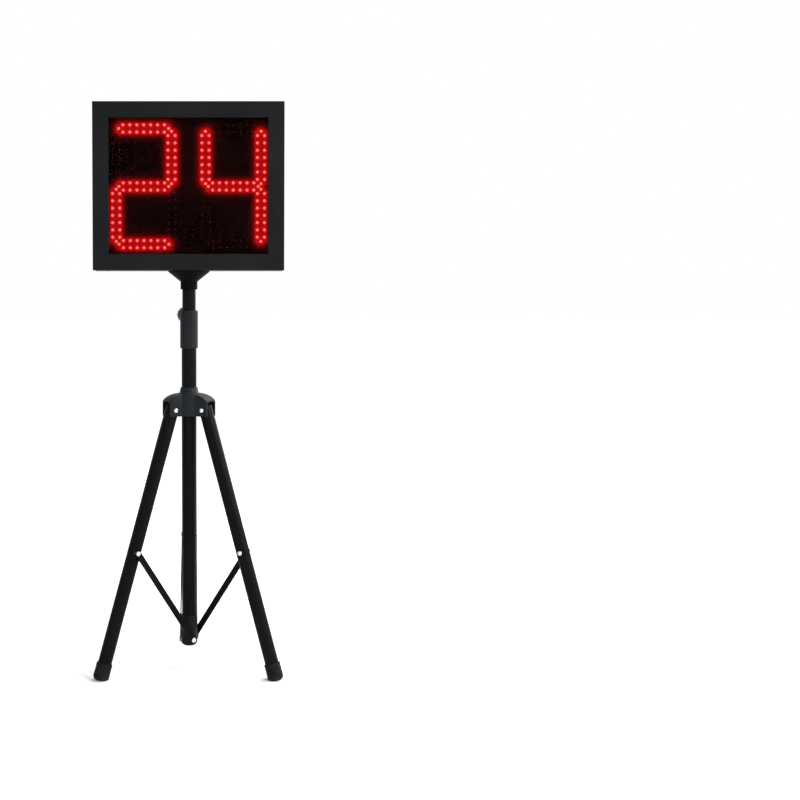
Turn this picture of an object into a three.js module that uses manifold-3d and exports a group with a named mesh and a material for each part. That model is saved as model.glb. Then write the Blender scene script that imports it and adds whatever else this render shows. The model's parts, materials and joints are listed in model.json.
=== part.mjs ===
// Shot clock: a two digit LED display on a telescopic mast with a folding three-legged stand.
// Millimetres, +Z up. The display faces -Y. The origin is on the floor, in the middle of the clock's outline.

import * as THREE from 'three';
import { mergeVertices } from 'three/addons/utils/BufferGeometryUtils.js';
import Module from 'manifold-3d';

const wasm = await Module();
wasm.setup();

// Faceting and modelling aids
const TUBE_SIDES = 20;
const PIN_SIDES = 10;
const LAMP_SIDES = 5;
const CURVE_STEPS = 3;
const ROOF_STEPS = 5;
const HEAD_STEPS = 2;
const OVERRUN = 4;
const SEAT_GAP = 0.3;
const TURN = Math.PI * 2;

// Display case
const CASE_WIDTH = 400;
const CASE_HEIGHT = 350;
const CASE_DEPTH = 90;
const BEZEL_WIDTH = 33.5;
const BEZEL_THICKNESS = 2;
const CASE_WALL = 2;
const RIB_REACH = 8;
const RIB_THICKNESS = 1.5;
const REAR_LIP_REACH = 12;
const REAR_LIP_THICKNESS = 2;
const REAR_RECESS = 6;
const MITRE_GAP = 0.1;
const SHEET_CLEARANCE = 0.5;
const GROOVE_CLEARANCE = 0.3;
const WINDOW_THICKNESS = 3;
const KEY_ARM = 30;
const KEY_THICKNESS = 3;
const KEY_END_CLEARANCE = 8;

// Rear cover and what it carries
const COVER_THICKNESS = 2;
const VENT_LENGTH = 46;
const VENT_HEIGHT = 4;
const VENT_PITCH = 11;
const VENT_ROWS = 5;
const VENT_PLACE_SHARE = 0.27;
const VENT_HEIGHT_SHARE = 0.27;
const SUPPLY_WIDTH = 129;
const SUPPLY_HEIGHT = 97;
const SUPPLY_DEPTH = 30;
const SUPPLY_PLACE_SHARES = [0.22, -0.1];
const TERMINAL_WIDTH = 12;
const TERMINAL_HEIGHT = 78;
const TERMINAL_DEPTH = 16;
const BOARD_WIDTH = 110;
const BOARD_HEIGHT = 80;
const BOARD_THICKNESS = 1.6;
const BOARD_STAND_OFF = 7;
const BOARD_BOSS_RADIUS = 3.5;
const BOARD_BOSS_INSET = 6;
const BOARD_PLACE_SHARES = [-0.24, 0.02];
const PLUG_ROW_HEIGHT = 10;
const PLUG_ROW_DEPTH = 9;
const PLUG_ROW_INSET = 9;
const CHIP_SIZE = 18;
const CHIP_DEPTH = 3;
const SOUNDER_RADIUS = 24;
const SOUNDER_DEPTH = 20;
const SOUNDER_PORT_RADIUS = 9;
const SOUNDER_PLACE_SHARES = [-0.24, -0.33];
const GRILLE_HOLE_RADIUS = 2;
const GRILLE_RING_RADIUS = 11;
const GRILLE_HOLES = 8;

// Mains socket and rocker switch in the rear cover
const FITTING_HEIGHT_SHARE = -0.36;
const FITTING_FLANGE_MARGIN = 2.5;
const FITTING_FLANGE_THICKNESS = 2;
const INLET_PLACE_SHARE = 0.12;
const INLET_BODY_WIDTH = 27;
const INLET_BODY_HEIGHT = 20;
const INLET_BODY_DEPTH = 22;
const INLET_CAVITY_WIDTH = 22.5;
const INLET_CAVITY_HEIGHT = 15.5;
const INLET_CAVITY_DEPTH = 17;
const INLET_CONTACT_WIDTH = 2;
const INLET_CONTACT_HEIGHT = 4;
const INLET_CONTACT_LENGTH = 11;
const INLET_CONTACT_PITCH = 7;
const INLET_CONTACT_RISE = 2;
const SWITCH_PLACE_SHARE = 0.3;
const SWITCH_BODY_WIDTH = 27;
const SWITCH_BODY_HEIGHT = 13;
const SWITCH_BODY_DEPTH = 18;
const SWITCH_WALL = 1.5;
const SWITCH_FLOOR = 6;
const ROCKER_END_CLEARANCE = 1.2;
const ROCKER_END_RISE = 4;
const ROCKER_MIDDLE_RISE = 1.5;
const ROCKER_BELLY = 3;
const ROCKER_PIVOT_SINK = 3.5;
const ROCKER_TILT = THREE.MathUtils.degToRad(10);

// Digits
const DIGIT_SPACING_SHARE = 0.5616;
const COLUMN_OFFSET_SHARE = 0.1742;
const BAR_SPACING_SHARE = 0.4254;
const POINT_DROP_SHARE = 0.3445;
const ROW_GAP = 15;
const LAMPS_PER_ROW = 7;
const END_LAMP_STEP = 9;
const END_LAMP_INSET = 5.75;
const LAMP_RADIUS = 2.5;
const LAMP_SHOULDER = 3.4;
const LAMP_HEIGHT = 5.6;
const LAMP_MARGIN = 1;
const MODULE_THICKNESS = 3;
const MODULE_GAP = 0.6;
const MODULE_WINDOW_SPACE = 10;
const PANEL_THICKNESS = 1.6;

// Telescopic mast
const INNER_TUBE_RADIUS = 14.3;
const INNER_TUBE_WALL = 1.2;
const INNER_TUBE_LENGTH = 598;
const OUTER_TUBE_WALL = 1.1;
const SLIDE_CLEARANCE = 0.35;
const MAST_EXTENSION = 66;
const GUIDE_PLUG = 26;
const GUIDE_SKIRT = 14;
const GUIDE_WALL = 2;
const GUIDE_CLEARANCE = 0.2;

// Mounting flange under the case
const FLANGE_RADIUS = 44;
const FLANGE_RIM = 2.5;
const FLANGE_HEIGHT = 40;
const FLANGE_SOCKET = 30;
const COLLAR_WALL = 3.35;
const COLLAR_HEIGHT = 17;
const COLLAR_EDGE = 2;
const FLANGE_SCREW_RADIUS = 3;
const FLANGE_SCREW_LENGTH = 9;
const FLANGE_SCREW_RISE = 9;

// Clamp at the top of the outer tube, with its heights counted from the tube's end
const SLEEVE_WALL = 2.95;
const SLEEVE_GRIP = 59;
const SLEEVE_CAP = 22;
const SLEEVE_SHOULDER = 5;
const SLEEVE_EDGE = 1.5;
const KNOB_ANGLE = THREE.MathUtils.degToRad(105);
const KNOB_RISE = 12;
const SLEEVE_BOSS_RADIUS = 9;
const SLEEVE_BOSS_LENGTH = 8;
const KNOB_RADIUS = 17;
const KNOB_DEPTH = 14;
const KNOB_BEVEL = 2;
const KNOB_STEM_RADIUS = 4;
const KNOB_LOBES = 8;
const KNOB_LOBE_SHARE = 0.08;
const KNOB_STEPS_PER_LOBE = 4;
const STEM_CLEARANCE = 0.3;

// Folding linkage, in the plane of one leg
const LEG_ANGLES = {
  left: THREE.MathUtils.degToRad(210),
  right: THREE.MathUtils.degToRad(330),
  back: THREE.MathUtils.degToRad(90),
};
const HUB_PIVOT_HEIGHT = 553;
const LEG_PIVOT_RADIUS = 131.5;
const LEG_PIVOT_HEIGHT = 258;
const SPIDER_PIVOT_HEIGHT = 58;

// Legs, struts and feet
const LEG_RADIUS = 14.5;
const LEG_WALL = 1.5;
const LEG_TOP_REACH = 8;
const STRUT_WIDTH = 13;
const STRUT_THICKNESS = 2.5;
const FOOT_LENGTH = 36;
const FOOT_SOLE = 8;
const FOOT_WALL = 2;
const FOOT_EDGE = 7.8;
const FOOT_LIP = 2;
const FOOT_SINK = 1.6;
const RIVET_RADIUS = 3;
const RIVET_HEAD_RADIUS = 4.9;
const RIVET_HEAD_HEIGHT = 2.2;
const RIVET_SHOULDER_WIDTH = 3;
const RIVET_SHOULDER_LENGTH = 2.5;
const RIVET_HOLE_CLEARANCE = 0.35;
const FORK_HOLE_CLEARANCE = 1.4;

// Hub that slides on the outer tube, with its heights counted from its lower face
const HUB_SKIRT = 13;
const HUB_HEIGHT = 48;
const HUB_FACE_WALL = 12.75;
const HUB_BORE_CLEARANCE = 1.3;
const HUB_RING_WALL = 3.45;
const HUB_RING_LIP = 0.8;
const HUB_RING_RISE = 12;
const HUB_TRAVEL = 83;
const FORK_SIDE_CLEARANCE = 0.85;
const FORK_CHEEK = 3.6;
const FORK_CORNER = 3;
const FORK_ROOT_WALL = 6.55;
const FORK_ROOT_ROOM = 3.4;
const FORK_SHORTFALL = 1;
const ROOF_EDGE_HEIGHT = 30;
const ROOF_SHOULDER_INSET = 8.2;
const ROOF_SHOULDER_HEIGHT = 45;
const ROOF_THICKNESS = 3.4;
const HUB_KNOB_ANGLE = THREE.MathUtils.degToRad(30);
const HUB_KNOB_RISE = 20;
const HUB_BOSS_RADIUS = 6.5;
const HUB_BOSS_LENGTH = 8;
const HUB_STEM_RADIUS = 3;
const HUB_KNOB_RADIUS = 10.5;
const HUB_KNOB_DEPTH = 11;
const HUB_KNOB_BEVEL = 1.5;
const HUB_STEM_CLEARANCE = 0.8;

// Lower spider at the foot of the outer tube, with its heights counted from the strut pivots
const SPIDER_WALL = 1.45;
const SPIDER_DROP = 14;
const SPIDER_RISE = 52;
const SPIDER_TUBE_SEAT = 8;
const SPIDER_SOLE_RADIUS = 9;
const SPIDER_EDGE_HEIGHT = 9;
const SPIDER_CHAMFER = 1.5;
const SPIDER_RIVET_ROOT = 8;

// Sizes that follow from the ones above: display case
const FRONT = -CASE_DEPTH / 2;
const INNER_WIDTH = CASE_WIDTH - 2 * CASE_WALL;
const INNER_HEIGHT = CASE_HEIGHT - 2 * CASE_WALL;
const OPENING_WIDTH = CASE_WIDTH - 2 * BEZEL_WIDTH;
const OPENING_HEIGHT = CASE_HEIGHT - 2 * BEZEL_WIDTH;
const DIGIT_SPACING = DIGIT_SPACING_SHARE * OPENING_WIDTH;
const COLUMN_OFFSET = COLUMN_OFFSET_SHARE * OPENING_WIDTH;
const BAR_SPACING = BAR_SPACING_SHARE * OPENING_HEIGHT;
const POINT_DROP = POINT_DROP_SHARE * OPENING_HEIGHT;
const WINDOW_BACK = BEZEL_THICKNESS + WINDOW_THICKNESS;
const WINDOW_RIB = WINDOW_BACK + GROOVE_CLEARANCE;
const MODULE_FRONT = WINDOW_BACK + MODULE_WINDOW_SPACE;
const MODULE_HALF_WIDTH = ROW_GAP / 2 + LAMP_RADIUS + LAMP_MARGIN;
const PANEL_FRONT = MODULE_FRONT + MODULE_THICKNESS;
const PANEL_RIB = PANEL_FRONT + PANEL_THICKNESS + GROOVE_CLEARANCE;
const COVER_OUTSIDE = CASE_DEPTH - REAR_RECESS;
const COVER_INSIDE = COVER_OUTSIDE - COVER_THICKNESS;
const REAR_LIP = COVER_INSIDE - REAR_LIP_THICKNESS;
const FITTING_HEIGHT = FITTING_HEIGHT_SHARE * CASE_HEIGHT;
const SUPPLY_PLACE = placeOnCover(SUPPLY_PLACE_SHARES);
const BOARD_PLACE = placeOnCover(BOARD_PLACE_SHARES);
const SOUNDER_PLACE = placeOnCover(SOUNDER_PLACE_SHARES);

// Mast, clamp and flange; the outer tube reaches from the spider to above the hub's travel
const HUB_BOTTOM = HUB_PIVOT_HEIGHT - HUB_SKIRT;
const HUB_TOP = HUB_BOTTOM + HUB_HEIGHT;
const OUTER_BORE = INNER_TUBE_RADIUS + SLIDE_CLEARANCE;
const OUTER_TUBE_RADIUS = OUTER_BORE + OUTER_TUBE_WALL;
const OUTER_TUBE_BOTTOM = SPIDER_PIVOT_HEIGHT + SPIDER_TUBE_SEAT;
const OUTER_TUBE_TOP = HUB_TOP + HUB_RING_RISE + HUB_TRAVEL + SLEEVE_GRIP;
const SLEEVE_RADIUS = OUTER_TUBE_RADIUS + SEAT_GAP + SLEEVE_WALL;
const SLEEVE_BOTTOM = OUTER_TUBE_TOP - SLEEVE_GRIP;
const SLEEVE_TOP = OUTER_TUBE_TOP + SLEEVE_CAP;
const SLEEVE_BOSS_REACH = SLEEVE_RADIUS + SLEEVE_BOSS_LENGTH;
const KNOB_HEIGHT = OUTER_TUBE_TOP + KNOB_RISE;
const COLLAR_BOTTOM = OUTER_TUBE_TOP + MAST_EXTENSION;
const COLLAR_RADIUS = OUTER_BORE + COLLAR_WALL;
const CASE_BOTTOM = COLLAR_BOTTOM + FLANGE_HEIGHT;
const MAST_TOP = COLLAR_BOTTOM + FLANGE_SOCKET;
const INNER_TUBE_BOTTOM = MAST_TOP - INNER_TUBE_LENGTH;

// Hub
const HUB_BORE = OUTER_TUBE_RADIUS + HUB_BORE_CLEARANCE;
const HUB_FACE_REACH = HUB_BORE + HUB_FACE_WALL;
const HUB_RING_RADIUS = HUB_BORE + HUB_RING_WALL;
const HUB_BOSS_REACH = HUB_FACE_REACH + HUB_BOSS_LENGTH;
const FORK_ROOT_RADIUS = HUB_BORE + FORK_ROOT_WALL;
const HUB_PIVOT_RADIUS = FORK_ROOT_RADIUS + FORK_ROOT_ROOM + LEG_RADIUS;
const FORK_REACH = HUB_PIVOT_RADIUS + LEG_RADIUS - FORK_SHORTFALL;
const FORK_HALF_GAP = LEG_RADIUS + FORK_SIDE_CLEARANCE;
const FORK_HALF_WIDTH = FORK_HALF_GAP + FORK_CHEEK;
const ROOF_EDGE_RADIUS = Math.hypot(FORK_REACH, FORK_HALF_WIDTH);

// Legs, struts and spider
const LEG_TILT = Math.atan2(LEG_PIVOT_RADIUS - HUB_PIVOT_RADIUS, HUB_PIVOT_HEIGHT - LEG_PIVOT_HEIGHT);
const LEG_TO_FLOOR = HUB_PIVOT_HEIGHT / Math.cos(LEG_TILT);
const FOOT_END = LEG_TO_FLOOR + FOOT_SINK;
const FOOT_RADIUS = LEG_RADIUS + SEAT_GAP + FOOT_WALL;
const LEG_END = FOOT_END - FOOT_SOLE;
const SPIDER_RADIUS = OUTER_TUBE_RADIUS + SEAT_GAP + SPIDER_WALL;
const SPIDER_BOTTOM = SPIDER_PIVOT_HEIGHT - SPIDER_DROP;
const SPIDER_TOP = SPIDER_PIVOT_HEIGHT + SPIDER_RISE;
const STRUT_LENGTH = Math.hypot(LEG_PIVOT_RADIUS, LEG_PIVOT_HEIGHT - SPIDER_PIVOT_HEIGHT);
const STRUT_TILT = Math.atan2(LEG_PIVOT_RADIUS, LEG_PIVOT_HEIGHT - SPIDER_PIVOT_HEIGHT);
const STRUT_INSIDE = Math.max(SPIDER_RADIUS, LEG_RADIUS + RIVET_SHOULDER_LENGTH) + SEAT_GAP;
const STRUT_OUTSIDE = STRUT_INSIDE + STRUT_THICKNESS;

// Finishes
function finish(color, roughness, metalness) {
  return new THREE.MeshStandardMaterial({ color, roughness, metalness });
}

const caseBlack = finish(0x222426, 0.55, 0.35);
const glazing = finish(0x0c0506, 0.08, 0);
const panelBlack = finish(0x0e0809, 0.7, 0);
const litLamp = finish(0xff4a3a, 0.35, 0);
const darkLamp = finish(0x4a1c1c, 0.35, 0);
const sheetBlack = finish(0x1c1d1e, 0.6, 0.3);
const boardGreen = finish(0x1f4a2c, 0.5, 0);
const zincSteel = finish(0xb4b7b8, 0.35, 0.9);
const tubeBlack = finish(0x16181a, 0.4, 0.3);
const mouldedBlack = finish(0x2a2e30, 0.5, 0);
const knobGrey = finish(0x56585a, 0.5, 0);
const rubber = finish(0x222222, 0.85, 0);
const rivetSilver = finish(0xdfe1e2, 0.25, 0.95);

// Solids

function signedVolume(vertices, triangles) {
  const corner = [new THREE.Vector3(), new THREE.Vector3(), new THREE.Vector3()];
  let total = 0;
  for (let at = 0; at < triangles.length; at += 3) {
    corner.forEach((point, k) => point.fromArray(vertices, triangles[at + k] * 3));
    total += corner[0].dot(corner[1].clone().cross(corner[2]));
  }
  return total / 6;
}

// Turns a closed geometry into a solid with its faces out
function solidOf(geometry) {
  const bare = geometry.clone();
  bare.deleteAttribute('normal');
  bare.deleteAttribute('uv');
  const merged = mergeVertices(bare);
  const vertices = new Float32Array(merged.attributes.position.array);
  const index = merged.index.array;
  const kept = [];
  for (let at = 0; at < index.length; at += 3) {
    const [a, b, c] = [index[at], index[at + 1], index[at + 2]];
    if (a !== b && b !== c && a !== c) kept.push(a, b, c);
  }
  if (signedVolume(vertices, kept) < 0) kept.reverse();
  const triVerts = new Uint32Array(kept);
  return new wasm.Manifold(new wasm.Mesh({ numProp: 3, vertProperties: vertices, triVerts }));
}

function geometryOf(solid) {
  const mesh = solid.getMesh();
  const geometry = new THREE.BufferGeometry();
  geometry.setAttribute('position', new THREE.BufferAttribute(new Float32Array(mesh.vertProperties), 3));
  geometry.setIndex(new THREE.BufferAttribute(new Uint32Array(mesh.triVerts), 1));
  geometry.computeVertexNormals();
  return geometry;
}

const join = (...geometries) => geometryOf(geometries.map(solidOf).reduce((whole, next) => whole.add(next)));

function cut(geometry, ...tools) {
  return geometryOf(tools.map(solidOf).reduce((whole, tool) => whole.subtract(tool), solidOf(geometry)));
}

const common = (first, second) => geometryOf(solidOf(first).intersect(solidOf(second)));

// A named piece of the clock
function piece(name, geometry, material) {
  const mesh = new THREE.Mesh(geometryOf(solidOf(geometry)), material);
  mesh.name = name;
  return mesh;
}

function gather(...members) {
  const group = new THREE.Group();
  members.flat().forEach((member) => group.add(member));
  return group;
}

// A box from its size and its centre
function block([width, depth, height], [x, y, z] = [0, 0, 0]) {
  return new THREE.BoxGeometry(width, depth, height).translate(x, y, z);
}

// A revolved form about Z; the outline is a list of [radius, height]
function turned(outline, sides = TUBE_SIDES) {
  const points = outline.map(([radius, height]) => new THREE.Vector2(radius, height));
  return new THREE.LatheGeometry(points, sides).rotateX(TURN / 4);
}

function cylinder(radius, from, to, sides = TUBE_SIDES) {
  return turned([[0, from], [radius, from], [radius, to], [0, to]], sides);
}

function tube(radius, wall, from, to) {
  const bore = radius - wall;
  return turned([[bore, from], [radius, from], [radius, to], [bore, to], [bore, from]]);
}

// A quarter of an ellipse between two points of an outline, leaving the first along the radius
function roundedEdge([fromRadius, fromHeight], [toRadius, toHeight], steps = CURVE_STEPS) {
  return Array.from({ length: steps + 1 }, (_, step) => {
    const angle = (step / steps) * (TURN / 4);
    return [
      fromRadius + (toRadius - fromRadius) * Math.sin(angle),
      fromHeight + (toHeight - fromHeight) * (1 - Math.cos(angle)),
    ];
  });
}

const polygon = (outline) => new THREE.Shape(outline.map(([x, z]) => new THREE.Vector2(x, z)));

// A sheet whose outline lies in the plane of the display, going back from y = 0
function sheet(shape, thickness) {
  const options = { depth: thickness, bevelEnabled: false, curveSegments: PIN_SIDES / 2 };
  const geometry = new THREE.ExtrudeGeometry(shape, options);
  return geometry.rotateX(TURN / 4).translate(0, thickness, 0);
}

// Lays a form that stands along Z so that it points along +X
const alongX = (geometry) => geometry.rotateY(TURN / 4);

// Lays a form that stands along Z so that it points along +Y
const alongY = (geometry) => geometry.rotateX(-TURN / 4);

// Display case

function bezelProfile() {
  const steps = [
    [0, 0], [BEZEL_WIDTH, 0], [BEZEL_WIDTH, BEZEL_THICKNESS], [CASE_WALL, BEZEL_THICKNESS],
    ...ribOutline(WINDOW_RIB, RIB_REACH, RIB_THICKNESS),
    ...ribOutline(PANEL_RIB, RIB_REACH, RIB_THICKNESS),
    ...ribOutline(REAR_LIP, REAR_LIP_REACH, REAR_LIP_THICKNESS),
    [CASE_WALL, CASE_DEPTH], [0, CASE_DEPTH],
  ];
  return new THREE.Shape(steps.map(([inward, back]) => new THREE.Vector2(inward, back)));
}

function ribOutline(start, reach, thickness) {
  const end = start + thickness;
  return [[CASE_WALL, start], [CASE_WALL + reach, start], [CASE_WALL + reach, end], [CASE_WALL, end]];
}

// One length of the case profile, its ends mitred: each point stops short by its distance from the outer face
function bezelMember(length) {
  const geometry = new THREE.ExtrudeGeometry(bezelProfile(), { depth: length, bevelEnabled: false });
  const position = geometry.attributes.position;
  for (let at = 0; at < position.count; at += 1) {
    const inward = position.getX(at) + MITRE_GAP;
    position.setZ(at, position.getZ(at) < length / 2 ? inward : length - inward);
  }
  return geometry.translate(0, FRONT, -length / 2).rotateY(-TURN / 4);
}

// Sets a bottom member at one of the four sides of the case
function bezelSide(name, length, reach, quarterTurns) {
  const member = piece(name, bezelMember(length), caseBlack);
  member.position.z = -reach;
  const side = gather(member);
  side.rotation.y = (quarterTurns * TURN) / 4;
  return side;
}

function bezel() {
  return [
    bezelSide('frame_bottom', CASE_WIDTH, CASE_HEIGHT / 2, 0),
    bezelSide('frame_left', CASE_HEIGHT, CASE_WIDTH / 2, 1),
    bezelSide('frame_top', CASE_WIDTH, CASE_HEIGHT / 2, 2),
    bezelSide('frame_right', CASE_HEIGHT, CASE_WIDTH / 2, 3),
  ];
}

function cornerKey(name, x, z, quarterTurns) {
  const start = PANEL_RIB + RIB_THICKNESS + KEY_END_CLEARANCE;
  const length = REAR_LIP - KEY_END_CLEARANCE - start;
  const angle = [
    [0, 0], [KEY_ARM, 0], [KEY_ARM, KEY_THICKNESS], [KEY_THICKNESS, KEY_THICKNESS],
    [KEY_THICKNESS, KEY_ARM], [0, KEY_ARM],
  ];
  const key = piece(name, sheet(polygon(angle), length), zincSteel);
  key.position.set(x, FRONT + start, z);
  key.rotation.y = (quarterTurns * TURN) / 4;
  return key;
}

function cornerKeys() {
  const [x, z] = [INNER_WIDTH / 2, INNER_HEIGHT / 2];
  return [
    cornerKey('corner_key_bottom_left', -x, -z, 0),
    cornerKey('corner_key_top_left', -x, z, 1),
    cornerKey('corner_key_top_right', x, z, 2),
    cornerKey('corner_key_bottom_right', x, -z, 3),
  ];
}

function fullSheet(name, start, thickness, material) {
  const size = [INNER_WIDTH - 2 * SHEET_CLEARANCE, thickness, INNER_HEIGHT - 2 * SHEET_CLEARANCE];
  return piece(name, block(size, [0, FRONT + start + thickness / 2, 0]), material);
}

// Digits

function lamp(x, z) {
  const root = -MODULE_THICKNESS / 2;
  const outline = [[0, root], [LAMP_RADIUS, root], [LAMP_RADIUS, LAMP_SHOULDER], [0, LAMP_HEIGHT]];
  return turned(outline, LAMP_SIDES).rotateX(TURN / 4).translate(x, 0, z);
}

// Two rows of lamps with one more on the centre line at each end, on a base with pointed ends
function segmentModule(length) {
  const [tip, half] = [length / 2 - MODULE_GAP, MODULE_HALF_WIDTH];
  const shoulder = tip - half;
  const outline = [
    [-tip, 0], [-shoulder, -half], [shoulder, -half], [tip, 0], [shoulder, half], [-shoulder, half],
  ];
  const lastLamp = length / 2 - END_LAMP_INSET - END_LAMP_STEP;
  const lampPitch = (2 * lastLamp) / (LAMPS_PER_ROW - 1);
  const lamps = [lamp(-lastLamp - END_LAMP_STEP, 0), lamp(lastLamp + END_LAMP_STEP, 0)];
  for (let place = 0; place < LAMPS_PER_ROW; place += 1) {
    const along = place * lampPitch - lastLamp;
    lamps.push(lamp(along, ROW_GAP / 2), lamp(along, -ROW_GAP / 2));
  }
  return join(sheet(polygon(outline), MODULE_THICKNESS), ...lamps);
}

// Where each segment lies in a digit, as shares of the column offset and the bar spacing
const SEGMENT_PLACE_SHARES = {
  a: [0, 1], b: [1, 0.5], c: [1, -0.5], d: [0, -1], e: [-1, -0.5], f: [-1, 0.5], g: [0, 0],
};

function digit(name, centre, litSegments) {
  return Object.entries(SEGMENT_PLACE_SHARES).map(([letter, [acrossShare, heightShare]]) => {
    const upright = acrossShare !== 0;
    const geometry = segmentModule(upright ? BAR_SPACING : 2 * COLUMN_OFFSET);
    const lamps = litSegments.includes(letter) ? litLamp : darkLamp;
    const segment = piece(`${name}_segment_${letter}`, geometry, lamps);
    segment.position.x = centre + acrossShare * COLUMN_OFFSET;
    segment.position.y = FRONT + MODULE_FRONT;
    segment.position.z = heightShare * BAR_SPACING;
    segment.rotation.y = upright ? TURN / 4 : 0;
    return segment;
  });
}

function decimalPoint() {
  const half = MODULE_HALF_WIDTH;
  const base = sheet(polygon([[-half, -half], [half, -half], [half, half], [-half, half]]), MODULE_THICKNESS);
  const lamps = [-1, 1].flatMap((x) => [-1, 1].map((z) => lamp((x * ROW_GAP) / 2, (z * ROW_GAP) / 2)));
  const point = piece('decimal_point', join(base, ...lamps), darkLamp);
  point.position.set(0, FRONT + MODULE_FRONT, -POINT_DROP);
  return point;
}

// Rear cover and electrics

function placeOnCover([acrossShare, heightShare]) {
  return [acrossShare * CASE_WIDTH, heightShare * CASE_HEIGHT];
}

function ventSlots() {
  const slots = [];
  for (const side of [-1, 1]) {
    for (let row = 0; row < VENT_ROWS; row += 1) {
      const x = side * VENT_PLACE_SHARE * CASE_WIDTH;
      const z = VENT_HEIGHT_SHARE * CASE_HEIGHT + (row - (VENT_ROWS - 1) / 2) * VENT_PITCH;
      slots.push(block([VENT_LENGTH, COVER_THICKNESS + OVERRUN, VENT_HEIGHT], [x, FRONT + COVER_INSIDE, z]));
    }
  }
  return slots;
}

function grilleHoles() {
  const [x, z] = SOUNDER_PLACE;
  const places = [[x, z]];
  for (let hole = 0; hole < GRILLE_HOLES; hole += 1) {
    const angle = (hole / GRILLE_HOLES) * TURN;
    places.push([x + GRILLE_RING_RADIUS * Math.cos(angle), z + GRILLE_RING_RADIUS * Math.sin(angle)]);
  }
  const reach = COVER_THICKNESS + OVERRUN;
  return places.map(([across, height]) => {
    const drill = alongY(cylinder(GRILLE_HOLE_RADIUS, -reach, reach, PIN_SIDES));
    return drill.translate(across, FRONT + COVER_INSIDE, height);
  });
}

function fittingHole(width, height, placeShare) {
  const size = [width + 2 * SEAT_GAP, COVER_THICKNESS + OVERRUN, height + 2 * SEAT_GAP];
  return block(size, [placeShare * CASE_WIDTH, FRONT + COVER_INSIDE, FITTING_HEIGHT]);
}

function boardBosses() {
  const [x, z] = BOARD_PLACE;
  const [halfWidth, halfHeight] = [BOARD_WIDTH / 2 - BOARD_BOSS_INSET, BOARD_HEIGHT / 2 - BOARD_BOSS_INSET];
  const top = FRONT + COVER_INSIDE - BOARD_STAND_OFF;
  const root = FRONT + COVER_INSIDE + COVER_THICKNESS / 2;
  const boss = alongY(cylinder(BOARD_BOSS_RADIUS, top, root, PIN_SIDES));
  return [-1, 1].flatMap((right) => [-1, 1].map((up) => (
    boss.clone().translate(x + right * halfWidth, 0, z + up * halfHeight)
  )));
}

function rearCover() {
  const size = [INNER_WIDTH - 2 * SHEET_CLEARANCE, COVER_THICKNESS, INNER_HEIGHT - 2 * SHEET_CLEARANCE];
  const plate = block(size, [0, FRONT + COVER_INSIDE + COVER_THICKNESS / 2, 0]);
  const holes = [
    ...ventSlots(), ...grilleHoles(),
    fittingHole(INLET_BODY_WIDTH, INLET_BODY_HEIGHT, INLET_PLACE_SHARE),
    fittingHole(SWITCH_BODY_WIDTH, SWITCH_BODY_HEIGHT, SWITCH_PLACE_SHARE),
  ];
  return piece('rear_cover', cut(join(plate, ...boardBosses()), ...holes), sheetBlack);
}

function powerSupply() {
  const [x, z] = SUPPLY_PLACE;
  const back = FRONT + COVER_INSIDE;
  const can = block([SUPPLY_WIDTH, SUPPLY_DEPTH, SUPPLY_HEIGHT], [x, back - SUPPLY_DEPTH / 2, z]);
  const terminalX = x - (SUPPLY_WIDTH + TERMINAL_WIDTH) / 2;
  const terminals = block([TERMINAL_WIDTH, TERMINAL_DEPTH, TERMINAL_HEIGHT],
    [terminalX, back - TERMINAL_DEPTH / 2, z]);
  return piece('power_supply', join(can, terminals), zincSteel);
}

function controllerBoard() {
  const [x, z] = BOARD_PLACE;
  const front = FRONT + COVER_INSIDE - BOARD_STAND_OFF - BOARD_THICKNESS;
  const board = block([BOARD_WIDTH, BOARD_THICKNESS, BOARD_HEIGHT], [x, front + BOARD_THICKNESS / 2, z]);
  const plugRow = (side) => block(
    [BOARD_WIDTH - 2 * BOARD_BOSS_INSET, PLUG_ROW_DEPTH, PLUG_ROW_HEIGHT],
    [x, front - PLUG_ROW_DEPTH / 2, z + side * (BOARD_HEIGHT / 2 - PLUG_ROW_INSET)],
  );
  const chip = block([CHIP_SIZE, CHIP_DEPTH, CHIP_SIZE], [x, front - CHIP_DEPTH / 2, z]);
  return piece('controller_board', join(board, plugRow(-1), plugRow(1), chip), boardGreen);
}

function sounder() {
  const [x, z] = SOUNDER_PLACE;
  const floor = SOUNDER_DEPTH / 2;
  const outline = [
    [0, 0], [SOUNDER_RADIUS, 0], [SOUNDER_RADIUS, SOUNDER_DEPTH],
    [SOUNDER_PORT_RADIUS, SOUNDER_DEPTH], [SOUNDER_PORT_RADIUS, floor], [0, floor],
  ];
  const back = FRONT + COVER_INSIDE;
  return piece('sounder', alongY(turned(outline)).translate(x, back - SOUNDER_DEPTH, z), mouldedBlack);
}

// A body that passes through the rear cover, with a flange on its outer face
function fittingHousing([width, depth, height], x) {
  const face = FRONT + COVER_OUTSIDE;
  const mouth = face + FITTING_FLANGE_THICKNESS;
  const body = block([width, depth, height], [x, mouth - depth / 2, FITTING_HEIGHT]);
  const flange = block(
    [width + 2 * FITTING_FLANGE_MARGIN, FITTING_FLANGE_THICKNESS, height + 2 * FITTING_FLANGE_MARGIN],
    [x, face + FITTING_FLANGE_THICKNESS / 2, FITTING_HEIGHT],
  );
  return join(body, flange);
}

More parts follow.
